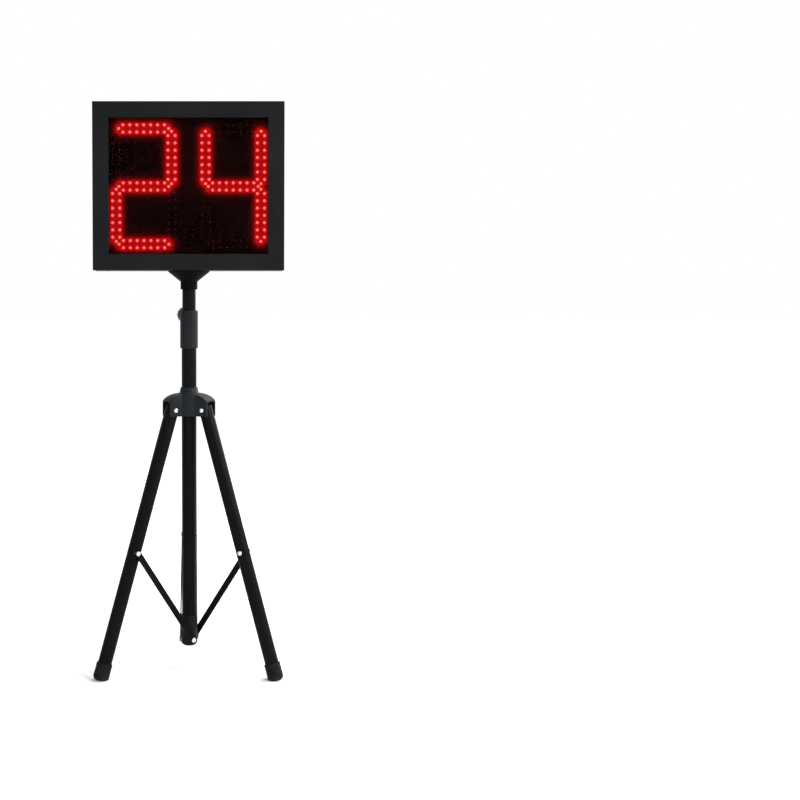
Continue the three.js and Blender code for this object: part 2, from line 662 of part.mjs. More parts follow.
function powerInlet() {
  const x = INLET_PLACE_SHARE * CASE_WIDTH;
  const mouth = FRONT + COVER_OUTSIDE + FITTING_FLANGE_THICKNESS;
  const housing = fittingHousing([INLET_BODY_WIDTH, INLET_BODY_DEPTH, INLET_BODY_HEIGHT], x);
  const cavityLength = INLET_CAVITY_DEPTH + OVERRUN;
  const cavity = block([INLET_CAVITY_WIDTH, cavityLength, INLET_CAVITY_HEIGHT],
    [x, mouth + OVERRUN - cavityLength / 2, FITTING_HEIGHT]);
  const contactLength = INLET_CONTACT_LENGTH + INLET_CONTACT_WIDTH;
  const contacts = [-1, 0, 1].map((place) => block(
    [INLET_CONTACT_WIDTH, contactLength, INLET_CONTACT_HEIGHT],
    [
      x + place * INLET_CONTACT_PITCH,
      mouth - INLET_CAVITY_DEPTH + INLET_CONTACT_LENGTH - contactLength / 2,
      FITTING_HEIGHT + (place === 0 ? INLET_CONTACT_RISE : -INLET_CONTACT_RISE),
    ],
  ));
  return piece('power_inlet', join(cut(housing, cavity), ...contacts), mouldedBlack);
}

function switchBody() {
  const x = SWITCH_PLACE_SHARE * CASE_WIDTH;
  const mouth = FRONT + COVER_OUTSIDE + FITTING_FLANGE_THICKNESS;
  const housing = fittingHousing([SWITCH_BODY_WIDTH, SWITCH_BODY_DEPTH, SWITCH_BODY_HEIGHT], x);
  const pocketDepth = SWITCH_BODY_DEPTH - SWITCH_FLOOR + OVERRUN;
  const pocket = block(
    [SWITCH_BODY_WIDTH - 2 * SWITCH_WALL, pocketDepth, SWITCH_BODY_HEIGHT - 2 * SWITCH_WALL],
    [x, mouth + OVERRUN - pocketDepth / 2, FITTING_HEIGHT],
  );
  return piece('switch_body', cut(housing, pocket), mouldedBlack);
}

// The rocker pivots about Z, and rests with the end nearer the socket pressed in
function switchRocker() {
  const half = SWITCH_BODY_WIDTH / 2 - SWITCH_WALL - ROCKER_END_CLEARANCE;
  const height = SWITCH_BODY_HEIGHT - 2 * SWITCH_WALL - 2 * SEAT_GAP;
  const shape = new THREE.Shape([
    new THREE.Vector2(-half, 0), new THREE.Vector2(0, -ROCKER_BELLY), new THREE.Vector2(half, 0),
    new THREE.Vector2(half, ROCKER_END_RISE), new THREE.Vector2(0, ROCKER_MIDDLE_RISE),
    new THREE.Vector2(-half, ROCKER_END_RISE),
  ]);
  const geometry = new THREE.ExtrudeGeometry(shape, { depth: height, bevelEnabled: false });
  const rocker = piece('switch_rocker', geometry.translate(0, 0, -height / 2), mouldedBlack);
  const pivot = FRONT + COVER_OUTSIDE + FITTING_FLANGE_THICKNESS - ROCKER_PIVOT_SINK;
  rocker.position.set(SWITCH_PLACE_SHARE * CASE_WIDTH, pivot, FITTING_HEIGHT);
  rocker.rotation.z = ROCKER_TILT;
  return rocker;
}

// Mounting flange: a rim that bolts to the case, a cone and a collar with a bore for the mast
function mountingFlange() {
  const bore = OUTER_BORE;
  const bottom = -FLANGE_HEIGHT;
  const boreTop = bottom + FLANGE_SOCKET + SEAT_GAP;
  const collarTop = bottom + COLLAR_HEIGHT;
  const outline = [
    [0, boreTop], [bore, boreTop], [bore, bottom],
    ...roundedEdge([COLLAR_RADIUS - COLLAR_EDGE, bottom], [COLLAR_RADIUS, bottom + COLLAR_EDGE]),
    [COLLAR_RADIUS, collarTop], [FLANGE_RADIUS, -FLANGE_RIM], [FLANGE_RADIUS, 0], [0, 0],
  ];
  const screwReach = COLLAR_RADIUS + OVERRUN;
  const screwHole = alongY(cylinder(FLANGE_SCREW_RADIUS + STEM_CLEARANCE, 0, screwReach, PIN_SIDES));
  screwHole.translate(0, 0, bottom + FLANGE_SCREW_RISE);
  return piece('mounting_flange', cut(turned(outline), screwHole), tubeBlack);
}

function flangeScrew() {
  const tip = INNER_TUBE_RADIUS + SEAT_GAP;
  const screw = alongY(cylinder(FLANGE_SCREW_RADIUS, tip, tip + FLANGE_SCREW_LENGTH, PIN_SIDES));
  return piece('flange_screw', screw.translate(0, 0, FLANGE_SCREW_RISE - FLANGE_HEIGHT), zincSteel);
}

// The head as one group, from the bottom of the case up
function displayHead() {
  const upright = gather(
    bezel(), cornerKeys(),
    fullSheet('front_window', BEZEL_THICKNESS, WINDOW_THICKNESS, glazing),
    fullSheet('module_panel', PANEL_FRONT, PANEL_THICKNESS, panelBlack),
    digit('tens', -DIGIT_SPACING / 2, 'abdeg'), digit('units', DIGIT_SPACING / 2, 'bcfg'), decimalPoint(),
    rearCover(), powerSupply(), controllerBoard(), sounder(), powerInlet(), switchBody(), switchRocker(),
  );
  upright.position.z = CASE_HEIGHT / 2;
  const head = gather(upright, mountingFlange(), flangeScrew());
  head.position.z = CASE_BOTTOM;
  return head;
}

// Mast

function innerTube() {
  const geometry = tube(INNER_TUBE_RADIUS, INNER_TUBE_WALL, INNER_TUBE_BOTTOM, MAST_TOP);
  return piece('inner_tube', geometry, tubeBlack);
}

// Plastic bush on the lower end of the inner tube, plugged into it and running in the outer tube
function innerTubeGuide() {
  const outside = OUTER_BORE - GUIDE_CLEARANCE;
  const plug = INNER_TUBE_RADIUS - INNER_TUBE_WALL - SEAT_GAP;
  const bore = plug - GUIDE_WALL;
  const flangeTop = INNER_TUBE_BOTTOM - SEAT_GAP;
  const bottom = flangeTop - GUIDE_SKIRT;
  const top = flangeTop + GUIDE_PLUG;
  const outline = [
    [bore, bottom], [outside, bottom], [outside, flangeTop], [plug, flangeTop], [plug, top], [bore, top],
    [bore, bottom],
  ];
  return piece('inner_tube_guide', turned(outline), mouldedBlack);
}

function outerTube() {
  const geometry = tube(OUTER_TUBE_RADIUS, OUTER_TUBE_WALL, OUTER_TUBE_BOTTOM, OUTER_TUBE_TOP);
  return piece('outer_tube', geometry, tubeBlack);
}

// Clamp casting: its lower bore grips the outer tube, its upper bore passes the inner tube
function clampSleeve() {
  const lowerBore = OUTER_TUBE_RADIUS + SEAT_GAP;
  const upperBore = OUTER_BORE;
  const step = OUTER_TUBE_TOP + SEAT_GAP;
  const [foot, brow] = [SLEEVE_BOTTOM + SLEEVE_EDGE, SLEEVE_TOP - SLEEVE_SHOULDER];
  const outline = [
    [lowerBore, SLEEVE_BOTTOM],
    ...roundedEdge([SLEEVE_RADIUS - SLEEVE_EDGE, SLEEVE_BOTTOM], [SLEEVE_RADIUS, foot]),
    ...roundedEdge([SLEEVE_RADIUS - SLEEVE_SHOULDER / 2, SLEEVE_TOP], [SLEEVE_RADIUS, brow]).reverse(),
    [upperBore, SLEEVE_TOP], [upperBore, step], [lowerBore, step], [lowerBore, SLEEVE_BOTTOM],
  ];
  const onBoss = (geometry) => alongX(geometry).rotateZ(KNOB_ANGLE).translate(0, 0, KNOB_HEIGHT);
  const boss = onBoss(cylinder(SLEEVE_BOSS_RADIUS, SLEEVE_RADIUS - SLEEVE_WALL / 2, SLEEVE_BOSS_REACH));
  const hole = onBoss(cylinder(KNOB_STEM_RADIUS + STEM_CLEARANCE, 0, SLEEVE_BOSS_REACH + OVERRUN, PIN_SIDES));
  return piece('clamp_sleeve', cut(join(turned(outline), boss), hole), mouldedBlack);
}

// A lobed hand knob on its screw, pointing along +X
function handKnob({ radius, depth, bevel, seat, stemRadius, stemTip }) {
  const steps = KNOB_LOBES * KNOB_STEPS_PER_LOBE;
  const outline = Array.from({ length: steps }, (_, step) => {
    const angle = (step / steps) * TURN;
    const dip = (KNOB_LOBE_SHARE * (1 - Math.cos(KNOB_LOBES * angle))) / 2;
    const reach = radius * (1 - dip) - bevel;
    return new THREE.Vector2(reach * Math.cos(angle), reach * Math.sin(angle));
  });
  const options = { depth: depth - 2 * bevel, bevelThickness: bevel, bevelSize: bevel, bevelSegments: 1 };
  const head = new THREE.ExtrudeGeometry(new THREE.Shape(outline), options).translate(0, 0, seat + bevel);
  return alongX(join(head, cylinder(stemRadius, stemTip, seat + depth / 2, PIN_SIDES)));
}

function clampKnob() {
  const geometry = handKnob({
    radius: KNOB_RADIUS, depth: KNOB_DEPTH, bevel: KNOB_BEVEL, seat: SLEEVE_BOSS_REACH + SEAT_GAP,
    stemRadius: KNOB_STEM_RADIUS, stemTip: INNER_TUBE_RADIUS + SEAT_GAP,
  });
  const knob = piece('clamp_knob', geometry, knobGrey);
  knob.position.z = KNOB_HEIGHT;
  knob.rotation.z = KNOB_ANGLE;
  return knob;
}

// Stand: the forms below are in the plane of one leg, +X away from the mast and +Y along its pivots

// Lays a form that stands along the leg, measured up from the hub pivot, at the leg's tilt
function alongLeg(geometry) {
  return geometry.rotateY(-LEG_TILT).translate(HUB_PIVOT_RADIUS, 0, HUB_PIVOT_HEIGHT);
}

function pivotHole(radius, x, z) {
  const reach = FORK_HALF_WIDTH + OVERRUN;
  return alongY(cylinder(radius, -reach, reach, PIN_SIDES)).translate(x, 0, z);
}

function leg(side) {
  const body = alongLeg(tube(LEG_RADIUS, LEG_WALL, -LEG_END, LEG_TOP_REACH));
  const upper = pivotHole(RIVET_RADIUS + FORK_HOLE_CLEARANCE, HUB_PIVOT_RADIUS, HUB_PIVOT_HEIGHT);
  const lower = pivotHole(RIVET_RADIUS + RIVET_HOLE_CLEARANCE, LEG_PIVOT_RADIUS, LEG_PIVOT_HEIGHT);
  return piece(`leg_${side}`, cut(body, upper, lower), tubeBlack);
}

// Rubber boot with a rounded end, cut flat where it stands on the floor
function foot(side) {
  const bore = LEG_RADIUS + SEAT_GAP;
  const floor = -LEG_END - SEAT_GAP;
  const top = FOOT_LENGTH - FOOT_END;
  const outline = [
    [0, floor], [bore, floor], [bore, top], [FOOT_RADIUS - FOOT_LIP / 2, top], [FOOT_RADIUS, top - FOOT_LIP],
    ...roundedEdge([FOOT_RADIUS - FOOT_EDGE, -FOOT_END], [FOOT_RADIUS, FOOT_EDGE - FOOT_END]).reverse(),
    [0, -FOOT_END],
  ];
  const reach = LEG_TO_FLOOR;
  const ground = block([reach, reach, reach], [HUB_PIVOT_RADIUS, 0, -reach / 2]);
  return piece(`foot_${side}`, cut(alongLeg(turned(outline)), ground), rubber);
}

function strut(side) {
  const half = STRUT_WIDTH / 2;
  const shape = new THREE.Shape();
  shape.absarc(0, 0, half, TURN / 2, TURN, false);
  shape.absarc(0, STRUT_LENGTH, half, 0, TURN / 2, false);
  for (const place of [0, STRUT_LENGTH]) {
    const hole = new THREE.Path();
    hole.absarc(0, place, RIVET_RADIUS + RIVET_HOLE_CLEARANCE, 0, TURN, true);
    shape.holes.push(hole);
  }
  const bar = sheet(shape, STRUT_THICKNESS).rotateY(STRUT_TILT);
  return piece(`strut_${side}`, bar.translate(0, STRUT_INSIDE, SPIDER_PIVOT_HEIGHT), tubeBlack);
}

function domedHead(seat, direction) {
  const outer = [RIVET_HEAD_RADIUS, seat];
  const crown = [0, seat + direction * RIVET_HEAD_HEIGHT];
  return roundedEdge(crown, outer, HEAD_STEPS).reverse();
}

// Rivet through both cheeks of a fork
function hubRivet(side) {
  const seat = FORK_HALF_WIDTH + SEAT_GAP / 2;
  const outline = [
    ...domedHead(-seat, -1).reverse(), [RIVET_RADIUS, -seat], [RIVET_RADIUS, seat], ...domedHead(seat, 1),
  ];
  const rivet = alongY(turned(outline, PIN_SIDES)).translate(HUB_PIVOT_RADIUS, 0, HUB_PIVOT_HEIGHT);
  return piece(`hub_rivet_${side}`, rivet, rivetSilver);
}

// Rivet through the leg tube, with a shoulder that holds the strut clear of it
function legRivet(side) {
  const inner = LEG_RADIUS + SEAT_GAP;
  const outer = STRUT_OUTSIDE + SEAT_GAP / 2;
  const shoulder = RIVET_RADIUS + RIVET_SHOULDER_WIDTH;
  const outline = [
    ...domedHead(-inner, -1).reverse(), [RIVET_RADIUS, -inner], [RIVET_RADIUS, inner],
    [shoulder, inner], [shoulder, STRUT_INSIDE - SEAT_GAP],
    [RIVET_RADIUS, STRUT_INSIDE - SEAT_GAP], [RIVET_RADIUS, outer], ...domedHead(outer, 1),
  ];
  const rivet = alongY(turned(outline, PIN_SIDES)).translate(LEG_PIVOT_RADIUS, 0, LEG_PIVOT_HEIGHT);
  return piece(`leg_rivet_${side}`, rivet, rivetSilver);
}

function spiderRivet(side) {
  const seat = STRUT_OUTSIDE + SEAT_GAP / 2;
  const outline = [
    [0, SPIDER_RIVET_ROOT + SEAT_GAP], [RIVET_RADIUS, SPIDER_RIVET_ROOT + SEAT_GAP],
    [RIVET_RADIUS, seat], ...domedHead(seat, 1),
  ];
  const rivet = alongY(turned(outline, PIN_SIDES)).translate(0, 0, SPIDER_PIVOT_HEIGHT);
  return piece(`spider_rivet_${side}`, rivet, rivetSilver);
}

function legSet([side, angle]) {
  const set = gather(leg(side), foot(side), strut(side), hubRivet(side), legRivet(side), spiderRivet(side));
  set.rotation.z = angle;
  return set;
}

// Three copies of a form, one for each leg
function aroundMast(geometry) {
  return Object.values(LEG_ANGLES).map((angle) => geometry.clone().rotateZ(angle));
}

// Hub

function hubRoof(drop) {
  const edge = [ROOF_EDGE_RADIUS, HUB_BOTTOM + ROOF_EDGE_HEIGHT];
  const shoulder = [ROOF_EDGE_RADIUS - ROOF_SHOULDER_INSET, HUB_BOTTOM + ROOF_SHOULDER_HEIGHT];
  const crown = [HUB_RING_RADIUS, HUB_TOP];
  const corners = [edge, shoulder, crown].map(([radius, height]) => new THREE.Vector2(radius, height));
  const curve = new THREE.QuadraticBezierCurve(...corners);
  const arc = curve.getPoints(ROOF_STEPS).map((point) => [point.x, point.y]);
  const bottom = HUB_BOTTOM - OVERRUN;
  return turned([[0, bottom], [ROOF_EDGE_RADIUS, bottom], ...arc, [0, HUB_TOP]]).translate(0, 0, -drop);
}

// The hub in plan: an arm over each leg, with rounded outer corners, and a flat face between each two
function hubPlan() {
  const [half, corner] = [FORK_HALF_WIDTH, FORK_CORNER];
  const faceAngle = TURN / 6;
  const root = (HUB_FACE_REACH - half * Math.sin(faceAngle)) / Math.cos(faceAngle);
  const arm = new THREE.Path();
  arm.moveTo(root, -half);
  arm.lineTo(FORK_REACH - corner, -half);
  arm.absarc(FORK_REACH - corner, -half + corner, corner, -TURN / 4, 0, false);
  arm.absarc(FORK_REACH - corner, half - corner, corner, 0, TURN / 4, false);
  arm.lineTo(root, half);
  const middle = new THREE.Vector2();
  return new THREE.Shape(Object.values(LEG_ANGLES).flatMap((angle) => (
    arm.getPoints(CURVE_STEPS).map((point) => point.rotateAround(middle, angle))
  )));
}

// The gap in which a leg swings, closed above by the roof
function forkGap() {
  const length = ROOF_EDGE_RADIUS + OVERRUN - FORK_ROOT_RADIUS;
  const height = HUB_HEIGHT + OVERRUN;
  const slot = block([length, 2 * FORK_HALF_GAP, height],
    [FORK_ROOT_RADIUS + length / 2, 0, HUB_BOTTOM - OVERRUN + height / 2]);
  return common(slot, hubRoof(ROOF_THICKNESS));
}

function hub() {
  const plan = new THREE.ExtrudeGeometry(hubPlan(), { depth: HUB_HEIGHT, bevelEnabled: false });
  const body = common(plan.translate(0, 0, HUB_BOTTOM), hubRoof(0));
  const [lip, ringTop] = [HUB_BORE + HUB_RING_LIP, HUB_TOP + HUB_RING_RISE];
  const ring = turned([
    [0, HUB_BOTTOM], [HUB_RING_RADIUS, HUB_BOTTOM], [HUB_RING_RADIUS, HUB_TOP], [lip, ringTop], [0, ringTop],
  ]);
  const atKnob = (geometry) =>
    alongX(geometry).rotateZ(HUB_KNOB_ANGLE).translate(0, 0, HUB_BOTTOM + HUB_KNOB_RISE);
  const boss = atKnob(cylinder(HUB_BOSS_RADIUS, HUB_RING_RADIUS, HUB_BOSS_REACH));
  const stemHole = atKnob(cylinder(HUB_STEM_RADIUS + STEM_CLEARANCE, 0, HUB_BOSS_REACH + OVERRUN, PIN_SIDES));
  const bore = cylinder(HUB_BORE, HUB_BOTTOM - OVERRUN, ringTop + OVERRUN);
  const rivetHole = pivotHole(RIVET_RADIUS + RIVET_HOLE_CLEARANCE, HUB_PIVOT_RADIUS, HUB_PIVOT_HEIGHT);
  const openings = [bore, stemHole, ...aroundMast(forkGap()), ...aroundMast(rivetHole)];
  return piece('hub', cut(join(body, ring, boss), ...openings), mouldedBlack);
}

function hubKnob() {
  const geometry = handKnob({
    radius: HUB_KNOB_RADIUS, depth: HUB_KNOB_DEPTH, bevel: HUB_KNOB_BEVEL, seat: HUB_BOSS_REACH + SEAT_GAP,
    stemRadius: HUB_STEM_RADIUS, stemTip: OUTER_TUBE_RADIUS + HUB_STEM_CLEARANCE,
  });
  const knob = piece('hub_knob', geometry, knobGrey);
  knob.position.z = HUB_BOTTOM + HUB_KNOB_RISE;
  knob.rotation.z = HUB_KNOB_ANGLE;
  return knob;
}

// Closed cap at the foot of the outer tube that carries the lower ends of the struts
function lowerSpider() {
  const bore = OUTER_TUBE_RADIUS + SEAT_GAP;
  const seat = OUTER_TUBE_BOTTOM - SEAT_GAP;
  const brim = SPIDER_BOTTOM + SPIDER_EDGE_HEIGHT;
  const outline = [
    [0, seat], [bore, seat], [bore, SPIDER_TOP], [SPIDER_RADIUS - SPIDER_CHAMFER / 2, SPIDER_TOP],
    [SPIDER_RADIUS, SPIDER_TOP - SPIDER_CHAMFER],
    ...roundedEdge([SPIDER_SOLE_RADIUS, SPIDER_BOTTOM], [SPIDER_RADIUS, brim]).reverse(), [0, SPIDER_BOTTOM],
  ];
  const [holeRadius, holeEnd] = [RIVET_RADIUS + RIVET_HOLE_CLEARANCE, SPIDER_RADIUS + OVERRUN];
  const socket = alongY(cylinder(holeRadius, SPIDER_RIVET_ROOT, holeEnd, PIN_SIDES));
  socket.translate(0, 0, SPIDER_PIVOT_HEIGHT);
  return piece('lower_spider', cut(turned(outline), ...aroundMast(socket)), mouldedBlack);
}

function mastAndStand() {
  return gather(
    innerTube(), innerTubeGuide(), outerTube(), clampSleeve(), clampKnob(), hub(), hubKnob(), lowerSpider(),
    Object.entries(LEG_ANGLES).map(legSet),
  );
}

// The whole clock, its outline centred over the origin
function shotClock() {
  const clock = gather(displayHead(), mastAndStand());
  clock.updateMatrixWorld(true);
  const outline = new THREE.Box3().setFromObject(clock, true);
  const centre = outline.getCenter(new THREE.Vector3());
  clock.position.set(-centre.x, -centre.y, -outline.min.z);
  return clock;
}

export default shotClock();
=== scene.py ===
import json
import math

import bmesh
import bpy
from mathutils import Matrix, Vector


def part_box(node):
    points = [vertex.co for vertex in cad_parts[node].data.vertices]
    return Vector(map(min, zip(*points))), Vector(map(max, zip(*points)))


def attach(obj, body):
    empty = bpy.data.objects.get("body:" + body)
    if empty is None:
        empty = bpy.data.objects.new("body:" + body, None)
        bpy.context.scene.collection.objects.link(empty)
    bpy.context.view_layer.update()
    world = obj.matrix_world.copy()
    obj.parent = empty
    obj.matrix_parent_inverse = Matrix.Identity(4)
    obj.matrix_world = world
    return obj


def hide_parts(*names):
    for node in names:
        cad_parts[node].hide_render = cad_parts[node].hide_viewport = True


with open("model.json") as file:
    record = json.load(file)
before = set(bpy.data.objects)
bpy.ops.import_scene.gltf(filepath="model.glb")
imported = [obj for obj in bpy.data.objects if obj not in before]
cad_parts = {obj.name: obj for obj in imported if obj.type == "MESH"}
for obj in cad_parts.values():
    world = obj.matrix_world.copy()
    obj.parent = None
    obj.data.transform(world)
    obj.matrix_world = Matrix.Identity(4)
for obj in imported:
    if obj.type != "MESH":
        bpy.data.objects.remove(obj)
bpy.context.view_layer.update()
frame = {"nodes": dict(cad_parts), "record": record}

MM = 0.001
TURN = 2 * math.pi
LOW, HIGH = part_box("outer_tube")
AXIS_Y = (LOW.y + HIGH.y) / 2
BODY_OF = {node: body for body, nodes in frame["record"]["behaviour"]["bodies"].items() for node in nodes}
SLOT_OF = {entry["node"]: entry["material_slot"] for entry in frame["record"]["subparts"]}

# Meshes. A face keeps its own normal if it is square to an axis, or if it has at least the plain area (in square
# metres) and none of its neighbours lies at an angle between the two plain angles (in degrees).
ROUND_SIDES = 64
PIN_SIDES = 28
EDGE_STEPS = 2
SQUARE = 0.99999
PLAIN_AREA = 20e-6
PLAIN_ANGLES = (0.3, 10)

# From here down to the hub, sizes are in millimetres from the mast axis, and heights from the floor. The main ones
# repeat the CAD model's values.

# Display
DISPLAY_HEIGHT = 1023
FRONT = -45
MODULE_FACE = FRONT + 15
COVER_FACE = FRONT + 84

# Digits: the centre and the lit segments of each, and the place of each segment in columns and rows
DIGITS = {"tens": (-93.51, "abdeg"), "units": (93.51, "bcfg")}
SEGMENT_PLACES = {
    "a": (0, 1), "b": (1, 0.5), "c": (1, -0.5), "d": (0, -1), "e": (-1, -0.5), "f": (-1, 0.5), "g": (0, 0),
}
COLUMN_OFFSET = 58.01
BAR_SPACING = 120.39
MODULE_HALF = 11
MODULE_GAP = 0.6
MODULE_THICKNESS = 3
MODULE_EDGE = 0.5
POINT_DROP = 97.49
ROW_GAP = 15
LAMPS_PER_ROW = 7
END_LAMP_STEP = 9
END_LAMP_INSET = 5.75
LAMP_RADIUS = 2.5
LAMP_FLANGE = 0.35
LAMP_SEAT, LAMP_FLANGE_TOP, LAMP_NECK, LAMP_SHOULDER, LAMP_HEIGHT = 0.2, 1.1, 1.3, 3.4, 5.6
LAMP_SIDES = 16
CUP_RADIUS = 6.9
CUP_GAP = 0.3
CUP_ROOT = -0.3
CUP_PROFILE = [(3.6, 0.02), (5.0, 0.12), (CUP_RADIUS, 0.16)]
CUP_SIDES = 24

# Rear of the display; a screw has a head's radius and height, and the rocker's end a reach and a rise
SCREW_SIDES = 24
SCREW_SEAT = -0.2
SCREW_TURN = 37
COVER_SCREW = (3.4, 2.2)
COVER_SCREW_X = (191, 64)
COVER_SCREW_Z = 166
FITTING_DROP = 126
INLET_X = 48
INLET_SCREW = (2.3, 1.6)
INLET_SCREW_OFFSET = 22
INLET_FRAME = 2
INLET_DEPTH = 17
INLET_BLADE = (2.3, 11.2, 4.3)
INLET_BLADE_EDGE = 0.3
INLET_BLADE_PLACES = {"left": (-7, -2), "middle": (0, 2), "right": (7, -2)}
ROCKER_PIVOT = (120, 37.5)
ROCKER_TILT = 10
ROCKER_MIDDLE = 1.5
ROCKER_END = (10.8, 2.5)
MARK_OFFSET = 7.0
MARK_LIFT = 0.1
BAR_MARK = (0.7, 0.25, 4.2)
RING_MARK = [(1.5, -0.12), (2.1, -0.12), (2.1, 0.12), (1.5, 0.12), (1.5, -0.12)]

# Mast and flange; a tube has a radius, a bore, a bottom and a top
TUBE_EDGE = 0.35
INNER_TUBE = (14.3, 13.1, 240, 838)
OUTER_TUBE = (15.75, 14.65, 66, 742)
FLANGE_BOTTOM, FLANGE_TOP = 808, 848
FLANGE_BORE = 14.65
FLANGE_SOCKET = 30.3
FLANGE_RADIUS = 44
FLANGE_RIM = 3
FLANGE_RIM_EDGE = 0.6
FLANGE_RIM_CENTRE = 2.1
COLLAR_RADIUS = 18
COLLAR_EDGE = 2
COLLAR_TOP = 823.5
COLLAR_FILLET = 3.0
FLANGE_SCREW = [(0, 14.7), (3.0, 14.7), (3.0, 23.0), (2.6, 23.5), (1.7, 23.5), (1.6, 21.0), (0, 20.6)]
FLANGE_SCREW_AIM = (90, 817)

# Clamp and knobs; an aim is an azimuth and a height, and a knob's dish has two shares of the knob's radius
SLEEVE_BORE, TUBE_PASSAGE, SLEEVE_RADIUS = 16.05, 14.65, 19.0
SLEEVE_BOTTOM, SLEEVE_STEP, SLEEVE_TOP = 683, 742.3, 764
SLEEVE_EDGE = 2.4
SLEEVE_SHOULDER = (2.5, 5)
CLAMP_AIM = (105, 754)
CLAMP_BOSS = [(0, 17.4), (9.6, 17.4), (9.2, 20.5), (9.0, 22), (9.0, 26.4), (8.4, 27), (0, 27)]
CLAMP_STEM_HOLE = [(0, 12), (4.3, 12), (4.3, 30), (0, 30)]
KNOB_LOBES = 12
KNOB_LOBE_DIP = 0.035
KNOB_DISH = (0.42, 0.47)
KNOB_DISH_DEPTH = 0.9

# Legs, feet and rivets; a pivot is a reach and a height, and a rivet's lengths go from the middle of its joint
LEG_AZIMUTHS = {"left": 210, "right": 330, "back": 450}
HUB_PIVOT = (41.5, 553)
LEG_PIVOT = (131.5, 258)
SPIDER_PIVOT = (0, 58)
LEG_RADIUS, LEG_BORE = 14.5, 13.0
LEG_TOP = 8
FOOT_SINK = 1.6
FOOT_SOLE = 8
FOOT_LENGTH = 36
FOOT_BORE, FOOT_RADIUS = 14.8, 16.8
FOOT_PLAY = 0.3
FOOT_LIP = 1.0
FOOT_EDGE = 7.8
FOOT_GROOVES = (8, 12, 16)
FOOT_GROOVE_HALF = (1, 0.5)
FOOT_GROOVE_DEPTH = 0.5
FLOOR_CUT = 0.02
RIVET_RADIUS, RIVET_SHOULDER = 3.0, 6.0
RIVET_HEAD = (4.9, 2.2)
LEG_RIVET = (14.8, 17.5, 20.45)
HUB_RIVET = 19.1
SPIDER_RIVET = (8.3, 20.45)

# Hub and spider; an arm of the hub has a reach, a half width, a corner and a root
HUB_BOTTOM, HUB_TOP, HUB_ABOVE = 540, 588, 592
HUB_ARM = (54.98, 18.95, 3.0, 26.78)
HUB_BARREL_RADIUS = 32.5
HUB_BARREL_SIDES = 120
HUB_BORE = [(0, 530), (17.05, 530), (17.05, 620), (0, 620)]
HUB_RING = [(0, 540.5), (20.5, 540.5), (20.5, 588), (18.15, 599.2), (17.85, 599.8), (17.5, 600), (0, 600)]
HUB_AIM = (30, 560)
HUB_BOSS = [(0, 19), (6.9, 19), (6.5, 30), (6.5, 37.2), (5.9, 37.8), (0, 37.8)]
HUB_STEM_HOLE = [(0, 10), (3.3, 10), (3.3, 40), (0, 40)]
HUB_SHORTEST_EDGE = 0.6
HUB_EDGE = 1.4
HUB_EDGE_ANGLE = 38
HUB_EDGE_TOP = 589
ROOF_BEND = ((58.17, 570), (49.97, 585), (20.5, 588))
ROOF_STEPS = 14
ROOF_SIDES = 96
ROOF_FLOOR = 536
ROOF_THICKNESS = 3.4
FORK_GAP = (60, 30.7, 80)
FORK_ROOT = 23.6
FORK_HEIGHT = 560
SPIDER_BORE, SPIDER_RADIUS = 16.05, 17.5
SPIDER_BOTTOM, SPIDER_SEAT, SPIDER_TOP = 44, 65.7, 110
SPIDER_SOLE = 9
SPIDER_LIP = 0.7

# Painted glow beside a lit segment, in metres: how far out it keeps its full strength, and how fast it dies away from
# there
# The board and the unlit lenses emit this painted glow, though they are no lamps.
GLOW_EDGE = 0.0115
GLOW_DECAY = 0.0037
PAINTED_GLOW_RED = (0.50, 0.003, 0.006)
BLACK = (0.0, 0.0, 0.0)

# Studio, in metres and watts: a lamp has a place, an aim, a size and a power
STUDIO_LAMPS = {
    "key_light": ((2.2, -1.4, 1.9), (0, 0, 0.6), 1.4, 82),
    "fill_light": ((-1.4, -2.8, 0.4), (0, 0, 0.7), 1.8, 14),
    "rim_light": ((2.3, 1.7, 1.5), (0, 0, 0.6), 1.4, 46),
    "top_light": ((0.9, 0.6, 2.3), (0, 0, 0.58), 1.5, 60),
}
WORLD_LIGHT = 0.36
FLOOR_HALF = 60
FLOOR_DROP = 0.0005
FLOOR_COLOUR = (0.86, 0.86, 0.86, 1)
FLOOR_GLOW = (0.15, 0.72)
FLOOR_GLOW_REACH = (0.6, 1.6)

# Camera, fitted to the photo: its place is in metres, its shift in pixels, and it looks down by its dip in degrees
PICTURE_WIDTH = 800
SENSOR_WIDTH = 36
FOCAL_PIXELS = 1220.5
CAMERA_SHIFT = (182.8, -40.0)
CAMERA_PLACE = (0.06, -2.6, 0.78)
CAMERA_DIP = 2.687


# Materials

